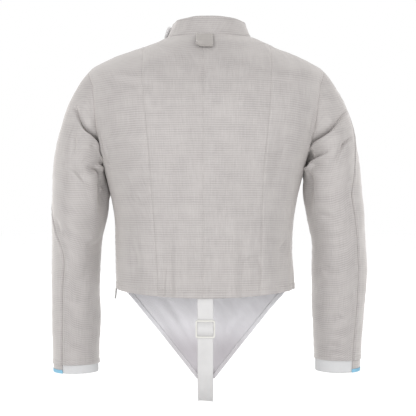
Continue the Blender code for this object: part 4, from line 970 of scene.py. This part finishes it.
# ------------------------------------------------------------------------------ the collar
# A stand collar, two layers of the same cloth, sewn round the neck from one side of the zip to
# the other. A short flap with a white lining closes over the zip's top end and springs away.
COLLAR_COLUMNS = (
    "up", "centre_x", "half_width", "back_depth", "front_depth", "back_z", "side_z", "front_z",
)
COLLAR_RINGS = (
    (0.0, 0.0070, 0.0835, 0.0660, 0.060, -0.003, NECK_LEVEL, -0.048),
    (0.5, 0.0070, 0.0775, 0.0615, 0.056, 0.017, 0.018, -0.028),
    (1.0, 0.0070, 0.0725, 0.0580, 0.053, 0.036, 0.031, -0.010),
)
COLLAR_HEIGHT, COLLAR_LENGTH, COLLAR_RADIUS = 37.0 * MM, 0.44, 0.07
FLAP_FROM, FLAP_TO, FLAP_FREE_FROM = 206.0, 270.0, 238.0
FLAP_TOP, FLAP_CORNER, FLAP_OFF_COLLAR = 0.84, 6.0 * MM, 3.1 * MM
COLLAR_WALL, FLAP_WALL = 1.6 * MM, 1.4 * MM
FLAP_STANDS_OFF, FLAP_DROOP, FLAP_HOLDS_IN, FLAP_HOLDS_AT = 6.5 * MM, 3.0 * MM, 1.8 * MM, 272.0
COLLAR = Table(COLLAR_COLUMNS, COLLAR_RINGS)
PAINTED_SHADE_FROM, PAINTED_SHADE_TO = -0.575, -0.640  # lengths along the warp between which painted shade darkens the cloth


def held_in(turn):
    """How far the closed flap pulls the collar in: a bell curve round the wearer's left side."""
    return FLAP_HOLDS_IN * bell(np.degrees(turn) - FLAP_HOLDS_AT, 26)


def woven_finish(name, light, dark, pitch, roughness, painted_shade=None):
    """Plain weave: the product of two sine waves, one each way, as tone and as fine relief;
    the last colour, if given, is painted shade that darkens the cloth further down."""
    material, tree, shader = new_finish(name, light, roughness)
    place, *ways = cloth_places(tree)
    waves = [weighted_sum(tree, (way, 2 * math.pi / pitch)) for way in ways]
    yarns = [add_node(tree, "Math", (wave,), operation="SINE") for wave in waves]
    weave = add_node(tree, "Math", yarns, operation="MULTIPLY")
    tone = weighted_sum(tree, (weave, 0.2), (stretched_noise(tree, place, 0.02, 0.03), 1.0))
    mix = {"Factor": tone, 6: linear(light), 7: linear(dark)}
    mix = add_node(tree, "Mix", mix, data_type="RGBA").outputs[2]
    # Painted shade: further down the warp the colour is mixed towards a darker grey.
    if painted_shade:
        share = {"Value": ways[1], "From Min": PAINTED_SHADE_FROM, "From Max": PAINTED_SHADE_TO}
        share = add_node(tree, "MapRange", share, interpolation_type="SMOOTHSTEP")
        mix = {"Factor": share, 6: mix, 7: linear(painted_shade)}
        mix = add_node(tree, "Mix", mix, data_type="RGBA").outputs[2]
    link_looks(tree, shader, mix, weave, 0.08 * MM, 0.6)
    return material


white_lining = woven_finish("white_lining", "#FFFEFF", "#F4F3F5", 1.4 * MM, 0.8)


def collar_form(turn, up):
    """Rings like the body's, placed by their share of the collar's height."""
    return ring_point(COLLAR, turn, up, COLLAR.at("side_z", up), 2.0)


def collar_piece():
    """The collar, rolled in to the neck seam and over its turned top edge."""
    first = beside_zip(LEFT, NECK_LEVEL) - 2 * math.pi
    turn = between(first, beside_zip(RIGHT, NECK_LEVEL), edge_to_edge(COLLAR_LENGTH))
    turn, up = np.meshgrid(turn, edge_to_edge(COLLAR_HEIGHT))
    form, normals = collar_form(turn, up), normals_of(collar_form, turn, up, 0.0, 1.0)
    neck, top, _, _ = from_edges(form)
    waves = 0.5 * MM * ripples(turn * COLLAR_RADIUS, up * COLLAR_HEIGHT, 0.05, 0.06, 51)
    waves = waves + 0.12 * MM * ripples(turn * COLLAR_RADIUS, 0.0, 0.011, 1.0, 52)
    turned = 0.25 * MM * bell(top - 4 * MM, GROOVE) + 0.5 * MM * np.exp(-top / (0.6 * MM))
    out = CLOTH_OUT * smooth(neck / SEAM_ROLL) - turned
    out = out + (waves - held_in(turn % (2 * math.pi))) * smooth(neck / (8 * MM))
    points, neck = form + normals * out[..., None], ["wearer_shoulders"]
    sew("collar", "cloth", points, normals, COLLAR_WALL, (lame,), "lame", form, neck)


def flap_piece():
    """The flap lies on the collar and lifts away and droops with the fourth power of the way along
    its free part; at its free end its height is less by the radius less its circle's chord."""
    degrees = np.linspace(FLAP_FROM, FLAP_TO, 44)
    turn, share = np.meshgrid(np.radians(degrees), np.linspace(-1.0, 1.0, 13))
    to_end = (np.radians(FLAP_TO) - turn) * COLLAR_RADIUS
    inside = np.clip(FLAP_CORNER - to_end, 0.0, FLAP_CORNER)
    rounded = (FLAP_CORNER - np.sqrt(FLAP_CORNER**2 - inside**2)) / (COLLAR_HEIGHT * FLAP_TOP / 2)
    share = share * (1 - rounded)
    up = FLAP_TOP * (share + 1) / 2
    form, normals = collar_form(turn, up), normals_of(collar_form, turn, up, 0.0, 1.0)
    free = np.clip((np.degrees(turn) - FLAP_FREE_FROM) / (FLAP_TO - FLAP_FREE_FROM), 0.0, 1.0) ** 4
    out = FLAP_OFF_COLLAR - held_in(turn) + FLAP_STANDS_OFF * free + 0.5 * MM * share * free
    points = form + normals * out[..., None]
    points[..., 2] -= FLAP_DROOP * free
    faces, collar = (lame, white_lining), ["collar_cloth"]
    sew("collar_flap", "cloth", points, normals, FLAP_WALL, faces, "lame", points, collar)


collar_piece()
flap_piece()


# ------------------------------------------------------------------------------ the wire tab
# A loop of the same cloth, folded double, its ends caught in the collar seam at the centre back.
# The body wire's clip closes over it. One lower corner has curled away from the back.
TAB_WIDTH, TAB_DROP, TAB_CENTRE_X, TAB_SLOPE = 33.0 * MM, 33.0 * MM, -1.5 * MM, 33.0
TAB_STARTS, TAB_OFF_BACK = 1.5 * MM, 2.05 * MM
TAB_LEGS_APART = (2.5 * MM, 4.0 * MM)
TAB_CURL, TAB_WALL = 3.6 * MM, 1.1 * MM


def tab_piece():
    """A strip bent into a loop: straight down, half a circle, straight up. Its corner lifts with
    the square of the drop and a power of the way to the left edge."""
    slope, radius = math.radians(TAB_SLOPE), TAB_LEGS_APART[1] / 2
    down = np.array([0.0, -math.sin(slope), -math.cos(slope)])
    out = np.array([0.0, -math.cos(slope), math.sin(slope)])
    top = collar_form(0.0, 0.0) * np.array([0.0, 1.0, 1.0])
    leg = TAB_DROP - radius - 0.6 * MM - TAB_STARTS
    angle, steps = np.linspace(0.0, math.pi, 13)[1:-1], np.linspace(0.0, leg, 16)
    back_leg = 2 * radius - (2 * radius - TAB_LEGS_APART[0]) * steps / leg
    drop = np.concatenate([steps, leg + radius * np.sin(angle), steps[::-1]])[:, None] + TAB_STARTS
    height = np.concatenate([0 * steps, radius * (1 - np.cos(angle)), back_leg])[:, None]
    aside = np.linspace(-0.5, 0.5, 23)[None, :]
    corner = np.clip(-aside * 2, 0.0, 1.0) ** 2.4 * (drop / TAB_DROP) ** 2
    waves = 0.25 * MM * ripples(aside * TAB_WIDTH, drop, 0.03, 0.03, 61) * drop / TAB_DROP
    lift = height * (1 + 0.5 * corner) + TAB_CURL * corner + waves
    fall = drop - 5.0 * MM * corner * (drop / TAB_DROP) ** 4
    points = top + down * fall[..., None] + out * (TAB_OFF_BACK + 0.5 * MM + lift)[..., None]
    points[..., 0] += TAB_CENTRE_X + aside * TAB_WIDTH
    normals = unit(np.cross(np.gradient(points, axis=0), np.gradient(points, axis=1)))
    rest = ["collar_cloth"], "folded"
    sew("wire_tab", "cloth", points, normals, TAB_WALL, LAME_BOTH, "lame", points, *rest)


tab_piece()


# ------------------------------------------------------------------------------ the cuffs
# White rib-knitted cuffs sewn inside the sleeve hems. A strip of lame crosses each cuff at its
# outer side, so that the wrist's glove touches it, and ends in a light blue binding.
CUFF_BOTTOM_Z = {LEFT: -0.668, RIGHT: -0.666}
CUFF_TUCK, CUFF_TUCKED_IN = 5.0 * MM, 2.45 * MM
KNIT_RIBS = 116
STRIP_TO_FRONT = math.radians(-30.0)
TRIM_HEIGHT, TRIM_FOLD = 7.0 * MM, 1.0 * MM
KNIT_WALL, STRIP_WALL, TRIM_WALL = 1.1 * MM, 0.9 * MM, 0.5 * MM

knit, tree, shader = new_finish("white_rib_knit", "#B0B0B1", 0.9)
place = add_node(tree, "TexCoord").outputs["Object"]
loops = add_node(tree, "TexNoise", {"Vector": place, "Scale": 900.0})
link_looks(tree, shader, None, loops, 0.12 * MM, 0.5)
blue_binding = woven_finish("light_blue_binding", "#78A6BD", "#689BB4", 1.2 * MM, 0.7)


def cuff_sheet(side, turns, heights, out):
    """Part of the tube at the given heights, moved out from its form."""
    turn, z = np.meshgrid(turns, heights)
    points = tube_point(side, turn, z)
    along = tube_point(side, turn + 1e-3, z) - tube_point(side, turn - 1e-3, z)
    normals = side * unit(np.cross(along, np.array([0.0, 0.0, -1.0])))
    return points + normals * np.broadcast_to(out, z.shape)[..., None], normals


def cuff_knit(side):
    """The cuff's ribs are cosines round the arm; its lower edge rolls in, and it sways a little."""
    name, turns = SIDE_NAMES[side], np.linspace(0.0, 2 * math.pi, 6 * KNIT_RIBS + 1)
    down = np.linspace(0.0, 1.0, 14)[:, None]
    heights = between(WRIST_Z[side] + CUFF_TUCK, CUFF_BOTTOM_Z[side], down)
    form, _ = cuff_sheet(side, turns, heights, -CUFF_TUCKED_IN)
    turns = turns[:-1]
    ribs = 0.35 * MM * np.cos(KNIT_RIBS * turns) - 0.5 * MM * smooth((down - 0.88) / 0.12)
    sway = 0.7 * MM * ripples(turns * 0.05, 0.0, 0.05, 1.0, 71 + side) * down
    points, normals = cuff_sheet(side, turns, heights, 0.6 * MM - CUFF_TUCKED_IN + ribs + sway)
    rest, how = [f"sleeve_back_{name}_cloth"], {"closed": True}
    sew(f"cuff_{name}", "knit", points, normals, KNIT_WALL, (knit,), "cuff_knit", form, rest, **how)


def cuff_strip(side):
    """The strip is one layer; its binding runs down its outside, turns in half a circle and runs up
    behind it."""
    name, bottom = SIDE_NAMES[side], CUFF_BOTTOM_Z[side]
    turns = np.linspace(STRIP_TO_FRONT, float(sleeve_seam(side, 2.0)), 26)
    wave = 0.25 * MM * ripples(turns * 0.05, 0.0, 0.02, 1.0, 75 + side)[None, :]
    heights = np.linspace(WRIST_Z[side] - 0.2 * MM, bottom + TRIM_HEIGHT - 1 * MM, 6)
    points, normals = cuff_sheet(side, turns, heights, wave - 0.35 * MM)
    strip, cuff = f"cuff_strip_{name}", [f"cuff_{name}_knit"]
    sew(strip, "cloth", points, normals, STRIP_WALL, (lame,), "lame", points, cuff)
    angle, radius = np.linspace(0.0, math.pi, 7)[1:-1], TRIM_FOLD
    leg = np.linspace(bottom + TRIM_HEIGHT, bottom + radius - 0.3 * MM, 6)
    heights = np.concatenate([leg, leg[-1] - radius * np.sin(angle), leg[::-1]])
    out = np.concatenate([0 * leg, radius * (np.cos(angle) - 1), 0 * leg - 2 * radius])[:, None]
    points, _ = cuff_sheet(side, turns, heights, out + 0.3 * MM + wave)
    normals = side * unit(np.cross(np.gradient(points, axis=1), np.gradient(points, axis=0)))
    trim, rest = f"cuff_trim_{name}", ([strip + "_cloth"], "folded")
    sew(trim, "cloth", points, normals, TRIM_WALL, (blue_binding,), "blue_trim", points, *rest)


for side in (LEFT, RIGHT):
    cuff_knit(side)
    cuff_strip(side)


# ------------------------------------------------------------------------------ groin cloth
# A triangle of plain white cotton that hangs from the front hem and is pulled back between the
# legs. Its side edges are turned once to the inside, 10 mm wide. We see its inner face.
GROIN_TOP_HALF, GROIN_END_HALF, GROIN_END_Z, GROIN_LEAN = 0.1725, 0.0190, -0.695, 0.011
GROIN_HEM = 10.0 * MM
BOTH_FRONTS = ["front_right_cloth", "front_left_cloth"]
GROIN_CREASES = {
    "left slant": ((-92, -512, 0, 0, 8, 8), (-60, -560, 1.6, 0.7), (-22, -640, 0, 0, 7, 7)),
    "long slant": ((-128, -516, 0, 0, 9, 9), (-84, -572, 1.2, 0.5), (-40, -640, 0, 0, 8, 8)),
    "right slant": ((28, -650, 0, 0, 7, 7), (58, -588, 1.5, 0.7, 8, 8), (112, -520, 0, 0, 9, 9)),
    "low": ((16, -672, 0, 0, 6, 6), (30, -622, 1.2, 0.5), (40, -580)),
    "beside strap": ((-24, -540, 0, 0, 7, 7), (-20, -600, 1.0, 0.4), (-16, -668, 0, 0, 6, 6)),
    "under hem": ((60, -514, 0, 0, 8, 8), (72, -544, 1.0, 0.5), (66, -580)),
}
# The last colour of each is painted shade, which darkens the cotton towards its lower end.
white_cotton = woven_finish("white_cotton", "#CAC9CC", "#C1BFC3", 1.3 * MM, 0.85, "#A6A2A6")
white_hem = woven_finish("white_cotton_hem", "#CBCACD", "#C3C2C6", 1.3 * MM, 0.85, "#B0ADB0")


def groin_form(x, down):
    """The front hem's curve carried straight down and cut to a triangle with a blunt end; it leans
    back with the square of the way down."""
    points = body_form(math.pi - across_turn(x, HEM_LEVEL), HEM_LEVEL)
    points[..., 2] = between(points[..., 2], GROIN_END_Z, down)
    points[..., 1] -= GROIN_LEAN * down**2
    return points


def groin_piece(name, finish, first, last, columns, top, out, thickness):
    """A piece of the triangle between two lines, whose x is a share of the half width and a step
    from there; creases sink towards the front, as its inner face is the one in view."""
    down, way = np.linspace(top, 1.0, 68), np.linspace(0.0, 1.0, columns)
    down, way = np.meshgrid(down, way, indexing="ij")
    half = between(GROIN_TOP_HALF, GROIN_END_HALF, down)
    x = between(first[0] * half + first[1], last[0] * half + last[1], way)
    form = groin_form(x, down)
    normals = body_normals(math.pi - across_turn(x, HEM_LEVEL), HEM_LEVEL)
    normals = unit(normals * np.array([1.0, 1.0, 0.0]))
    z = form[..., 2]
    waves = 0.9 * MM * ripples(x, z, 0.06, 0.2, 81)
    waves = waves + 0.5 * MM * ripples(x + 0.7 * z, 0.0, 0.035, 1.0, 82)
    out = out + (waves - crease_relief(form, GROIN_CREASES)[0]) * smooth(down / 0.06)
    points = form + normals * out[..., None]
    sew(name, "cotton", points, normals, thickness, (finish,), "white_cloth", form, BOTH_FRONTS)


right_edge, left_edge = (1, 0.0), (-1, 0.0)
for name, finish, first, last, *how in (
    ("groin_cloth", white_cotton, left_edge, right_edge, 111, 0.002, 0.5 * MM, 1.0 * MM),
    ("groin_hem_left", white_hem, left_edge, (-1, GROIN_HEM), 6, 0.016, -0.45 * MM, 0.6 * MM),
    ("groin_hem_right", white_hem, (1, -GROIN_HEM), right_edge, 6, 0.016, -0.45 * MM, 0.6 * MM),
):
    groin_piece(name, finish, first, last, *how)


# ------------------------------------------------------------------------------ strap
# White polypropylene webbing, 30 mm wide, from inside the back hem down through the buckle, and
# between the legs to the end of the groin cloth. Its weft shows as fine ribs across it.
STRAP_WIDTH, STRAP_WALL = 30.0 * MM, 1.4 * MM
BUCKLE_Z, BUCKLE_Y = -0.5650, -0.1030
BUCKLE_WIDTH, BUCKLE_HEIGHT, BUCKLE_WALL, BUCKLE_BAR = 37.0 * MM, 34.0 * MM, 2.6 * MM, 3.4 * MM
STRAP_OFF_BAR = BUCKLE_WALL / 2 + 0.35 * MM + STRAP_WALL / 2
STRAP_ROUTE = (  # y, z along the strap's middle
    (-0.1022, -0.4880),
    (-0.1018, -0.5080),
    (BUCKLE_Y + STRAP_OFF_BAR, BUCKLE_Z + BUCKLE_HEIGHT / 2 + 0.001),
    (BUCKLE_Y + STRAP_OFF_BAR, BUCKLE_Z + BUCKLE_HEIGHT / 2 - BUCKLE_BAR),
    (BUCKLE_Y - STRAP_OFF_BAR, BUCKLE_Z + BUCKLE_BAR * 0.9),
    (BUCKLE_Y - STRAP_OFF_BAR, BUCKLE_Z - BUCKLE_BAR * 0.9),
    (BUCKLE_Y + STRAP_OFF_BAR, BUCKLE_Z - BUCKLE_HEIGHT / 2 + BUCKLE_BAR),
    (BUCKLE_Y + STRAP_OFF_BAR, BUCKLE_Z - BUCKLE_HEIGHT / 2 - 0.001),
    (-0.0965, -0.6100),
    (-0.0820, -0.6540),
    (-0.0500, -0.6950),
    (-0.0080, -0.7200),
    (0.0360, -0.7245),
    (0.0700, -0.7140),
    (0.0860, -0.6980),
    (0.0882, -0.6750),
)
webbing = woven_finish("white_webbing", "#B5B4B4", "#AAA9A9", 2.0 * MM, 0.7)

corners = np.array(STRAP_ROUTE)
lengths = running(corners)
curve = Table(("length", "y", "z"), np.column_stack([lengths, corners]).tolist())
places = [np.linspace(a, b, 14)[:-1] for a, b in zip(lengths[:-1], lengths[1:])]
places = np.concatenate(places + [lengths[-1:]])
line = np.stack([curve.at("y", places), curve.at("z", places)], axis=1)
along = unit(np.gradient(line, axis=0))
aside = np.linspace(-0.5, 0.5, 17)
points = np.zeros((len(line), 17, 3))
points[..., 0] = aside * STRAP_WIDTH
points[..., 1:] = line[:, None, :]
normals = np.stack([0 * along[:, 0], along[:, 1], -along[:, 0]], axis=1)
normals = np.repeat(normals[:, None, :], 17, axis=1)
free = smooth((places - 0.11) / 0.05) * smooth((lengths[-1] - places) / 0.03)
sway = 0.8 * MM * ripples(aside[None, :] * STRAP_WIDTH, places[:, None], 0.06, 0.09, 91)
sway = sway * free[:, None]
rounded = 0.35 * MM * np.exp(-(0.5 - np.abs(aside))[None, :] * STRAP_WIDTH / (0.8 * MM))
weft = 0.10 * MM * np.sin(2 * math.pi * places / (2.2 * MM))[:, None]
outer = points - normals * (STRAP_WALL / 2 + sway - rounded + weft)[..., None]
sewn_to = ["back_left_cloth", "back_right_cloth", "groin_cloth_cotton"]
sew("strap", "webbing", outer, -normals, STRAP_WALL, (webbing,), "webbing", points, sewn_to)


# ------------------------------------------------------------------------------ buckle
# A ladder buckle moulded in ivory nylon: a frame with round corners and a middle bar, on which
# the webbing turns. Its edges are rounded from the mould.
ivory = new_finish("ivory_nylon", "#B4B3AE", 0.35)[0]


def plate_outline(width, height, radius, centre):
    """A rectangle with round corners, as a closed loop of points in its own plane."""
    loop = []
    for sx, sy, first in ((1, 1, 0), (-1, 1, 90), (-1, -1, 180), (1, -1, 270)):
        for angle in np.radians(np.linspace(first, first + 90, 7)):
            x = centre[0] + sx * (width / 2 - radius) + radius * math.cos(angle)
            loop.append((x, centre[1] + sy * (height / 2 - radius) + radius * math.sin(angle)))
    return loop


def plate(name, loops, thickness, roundness, matrix, finish):
    """A flat plate from outlines, the later ones holes, with rounded edges, as a mesh in place."""
    curve = bpy.data.curves.new(name, "CURVE")
    curve.dimensions, curve.fill_mode, curve.offset = "2D", "BOTH", -roundness
    curve.extrude, curve.bevel_depth = thickness / 2 - roundness, roundness
    curve.bevel_resolution = 3
    for loop in loops:
        spline = curve.splines.new("POLY")
        spline.points.add(len(loop) - 1)
        spline.use_cyclic_u = True
        for point, (x, y) in zip(spline.points, loop):
            point.co = (x, y, 0.0, 1.0)
    holder = new_object(name + "_outline", curve)
    shown = holder.evaluated_get(bpy.context.evaluated_depsgraph_get())
    mesh = bpy.data.meshes.new_from_object(shown)
    bpy.data.objects.remove(holder)
    mesh.transform(matrix)
    return place_piece(name, mesh, (finish,))


slot_height = (BUCKLE_HEIGHT - 3 * BUCKLE_BAR) / 2
offset = (slot_height + BUCKLE_BAR) / 2
loops = [plate_outline(BUCKLE_WIDTH, BUCKLE_HEIGHT, 4.0 * MM, (0.0, 0.0))]
for y in (offset, -offset):
    loops.append(plate_outline(BUCKLE_WIDTH - 6.2 * MM, slot_height, 1.2 * MM, (0.0, y)))
upright = Matrix.Translation((0.0, BUCKLE_Y, BUCKLE_Z)) @ Matrix.Rotation(math.radians(90), 4, "X")
buckle = plate("ladder_buckle", loops, BUCKLE_WALL, 0.8 * MM, upright, ivory)
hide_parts("buckle")


# ------------------------------------------------------------------------------ the zip
# A metal zip in grey woven tape down the left front: two rows of nickel teeth, a slider at the
# lower end of the closed chain, and a pull that hangs from the slider's lug.
TAPE_WIDTH, TAPE_WALL, TAPE_STOPS = 28.0 * MM, 1.0 * MM, 0.3 * MM
SLIDER_LEVEL, SLIDER_LENGTH = -0.4860, 11.0 * MM
TOOTH_PITCH = 2.4 * MM
grey_tape = woven_finish("grey_zip_tape", "#C8C6C4", "#B5B3B1", 1.2 * MM, 0.8)
nickel = new_finish("nickel_plate", "#B8B7B5", 0.32, Metallic=1.0)[0]


def zip_line(levels, reach):
    """Points and normals across the zip, from -reach to reach, flat between the fronts' edges and
    along each front past them, by level."""
    turn = zip_edge(np.asarray(reach)[None, :], levels[:, None])
    level = np.broadcast_to(levels[:, None], turn.shape)
    return body_form(turn, level), body_normals(turn, level)


levels = np.linspace(HEM_LEVEL + 0.3 * MM, NECK_LEVEL - TAPE_STOPS, 170)
points, normals = zip_line(levels, np.linspace(-0.5, 0.5, 15) * TAPE_WIDTH)
inside = CLOTH + 0.5 * MM - CLOTH_OUT
outer = points - normals * inside
sew("zip_tape", "woven", outer, normals, TAPE_WALL, (grey_tape,), "zip_tape", points, BOTH_FRONTS)


def teeth():
    """Teeth by pitch along the chain, left and right in turn, each a small chamfered block of three
    layers of four corners."""
    levels = np.linspace(SLIDER_LEVEL + SLIDER_LENGTH / 2, NECK_LEVEL - 1.5 * MM, 2000)
    points, normals = zip_line(levels, np.array([-1.0, 0.0, 1.0]) * MM)
    reach = running(points[:, 1])
    at = np.searchsorted(reach, np.arange(1.2 * MM, reach[-1], TOOTH_PITCH / 2))
    across, out = unit(points[at, 2] - points[at, 0]), normals[at, 1]
    up = unit(np.cross(out, across))
    side = np.where(np.arange(len(at)) % 2, 1.0, -1.0)[:, None]
    middle = points[at, 1] + across * side * 0.75 * MM + out * 0.15 * MM
    corners = []
    for wide, tall, high in ((1.70, 0.78, -0.9), (1.70, 0.78, 0.5), (1.275, 0.507, 0.95)):
        for a, b in ((-1, -1), (1, -1), (1, 1), (-1, 1)):
            corners.append(middle + (across * a * wide + up * b * tall + out * high) * MM)
    block = [(3, 2, 1, 0), (8, 9, 10, 11)]
    for low in (0, 4):
        for i, j in ((0, 1), (1, 2), (2, 3), (3, 0)):
            block.append((low + i, low + j, low + 4 + j, low + 4 + i))
    faces = np.arange(len(at))[:, None, None] * 12 + np.array(block)[None]
    chain = new_piece("zip_teeth", np.stack(corners, axis=1), faces.reshape(-1, 4), (nickel,))
    chain.data.shade_flat()
    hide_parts("zip_chain")


teeth()
for node in ("zip_slider", "zip_pull"):
    for slot in bpy.data.objects[node].material_slots:
        slot.link = "OBJECT"
        slot.material = nickel


# ------------------------------------------------------------------------------ stitches
# Lockstitch in pale polyester thread, about three stitches to the centimetre: round the hems,
# along the zip, along the collar, round its flap, and on the groin cloth's turned edges.
STITCH_PITCH, STITCH_LENGTH, THREAD = 3.4 * MM, 2.7 * MM, 0.24 * MM
thread = new_finish("pale_polyester_thread", "#ABA7A5", 0.6)[0]
white_thread = new_finish("white_polyester_thread", "#DDDCDD", 0.6)[0]


def stitches(name, line, normals, finish=None, slot="lame"):
    """Stitches along a line, each a closed tube of five rings of five points whose radius and
    height follow the sine of the way along it, sunk at both ends."""
    reach = running(line)
    centres = np.arange(STITCH_PITCH, reach[-1] - STITCH_PITCH / 2, STITCH_PITCH)
    t = np.linspace(0.02, 0.98, 5)
    places = centres[:, None] + (t - 0.5)[None, :] * STITCH_LENGTH

    def read(values, where):
        return np.stack([np.interp(where, reach, values[:, i]) for i in range(3)], axis=-1)

    out = unit(read(normals, places))
    along = unit(read(line, places + 0.2 * MM) - read(line, places - 0.2 * MM))
    angle = np.arange(5)[:, None] * 2 * math.pi / 5
    bulge = np.sin(math.pi * t)[None, :, None, None]
    aside, out = np.cross(along, out)[:, :, None], out[:, :, None]
    ring = (aside * np.cos(angle) + out * np.sin(angle)) * (0.25 + 0.75 * bulge)
    vertices = read(line, places)[:, :, None] + (ring + out * 0.7 * bulge) * THREAD
    faces = np.arange(len(centres))[:, None, None] * 25 + grid_faces(5, 5, True)[None]
    new_piece(name, vertices, faces.reshape(-1, 4), (finish or thread,))


LINES = {  # the cloth that is stitched, and its grid's row and column there
    **{name + "_hem": (name, 12, slice(1, -1)) for name in PANELS},
    "front_right_zip": ("front_right", slice(3, -6), -5),
    "front_left_zip": ("front_left", slice(3, -6), 4),
    **{name + "_hem": (name, -10, slice(1, -1)) for name in SLEEVES},
    "collar_top": ("collar", -6, slice(2, -2)),
    "collar_neck": ("collar", 5, slice(2, -2)),
}
for name, (cloth, row, column) in LINES.items():
    stitches(name + "_stitches", *(grid[row, column] for grid in CLOTHS[cloth]))
border = [np.concatenate([g[1, 4:-3], g[1:-1, -3], g[-2, -3:3:-1]]) for g in CLOTHS["collar_flap"]]
stitches("collar_flap_stitches", *border)
for name, column in (("groin_hem_left", -2), ("groin_hem_right", 1)):
    line, out = (grid[:, column] for grid in CLOTHS[name])
    stitches(name + "_stitches", line - out * 0.7 * MM, -out, white_thread, "white_cloth")

graph = bpy.context.evaluated_depsgraph_get()
low, high = np.full(3, np.inf), np.full(3, -np.inf)
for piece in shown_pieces():
    box = piece.evaluated_get(graph).bound_box
    corners = np.array([piece.matrix_world @ Vector(corner) for corner in box])
    low, high = np.minimum(low, corners.min(0)), np.maximum(high, corners.max(0))
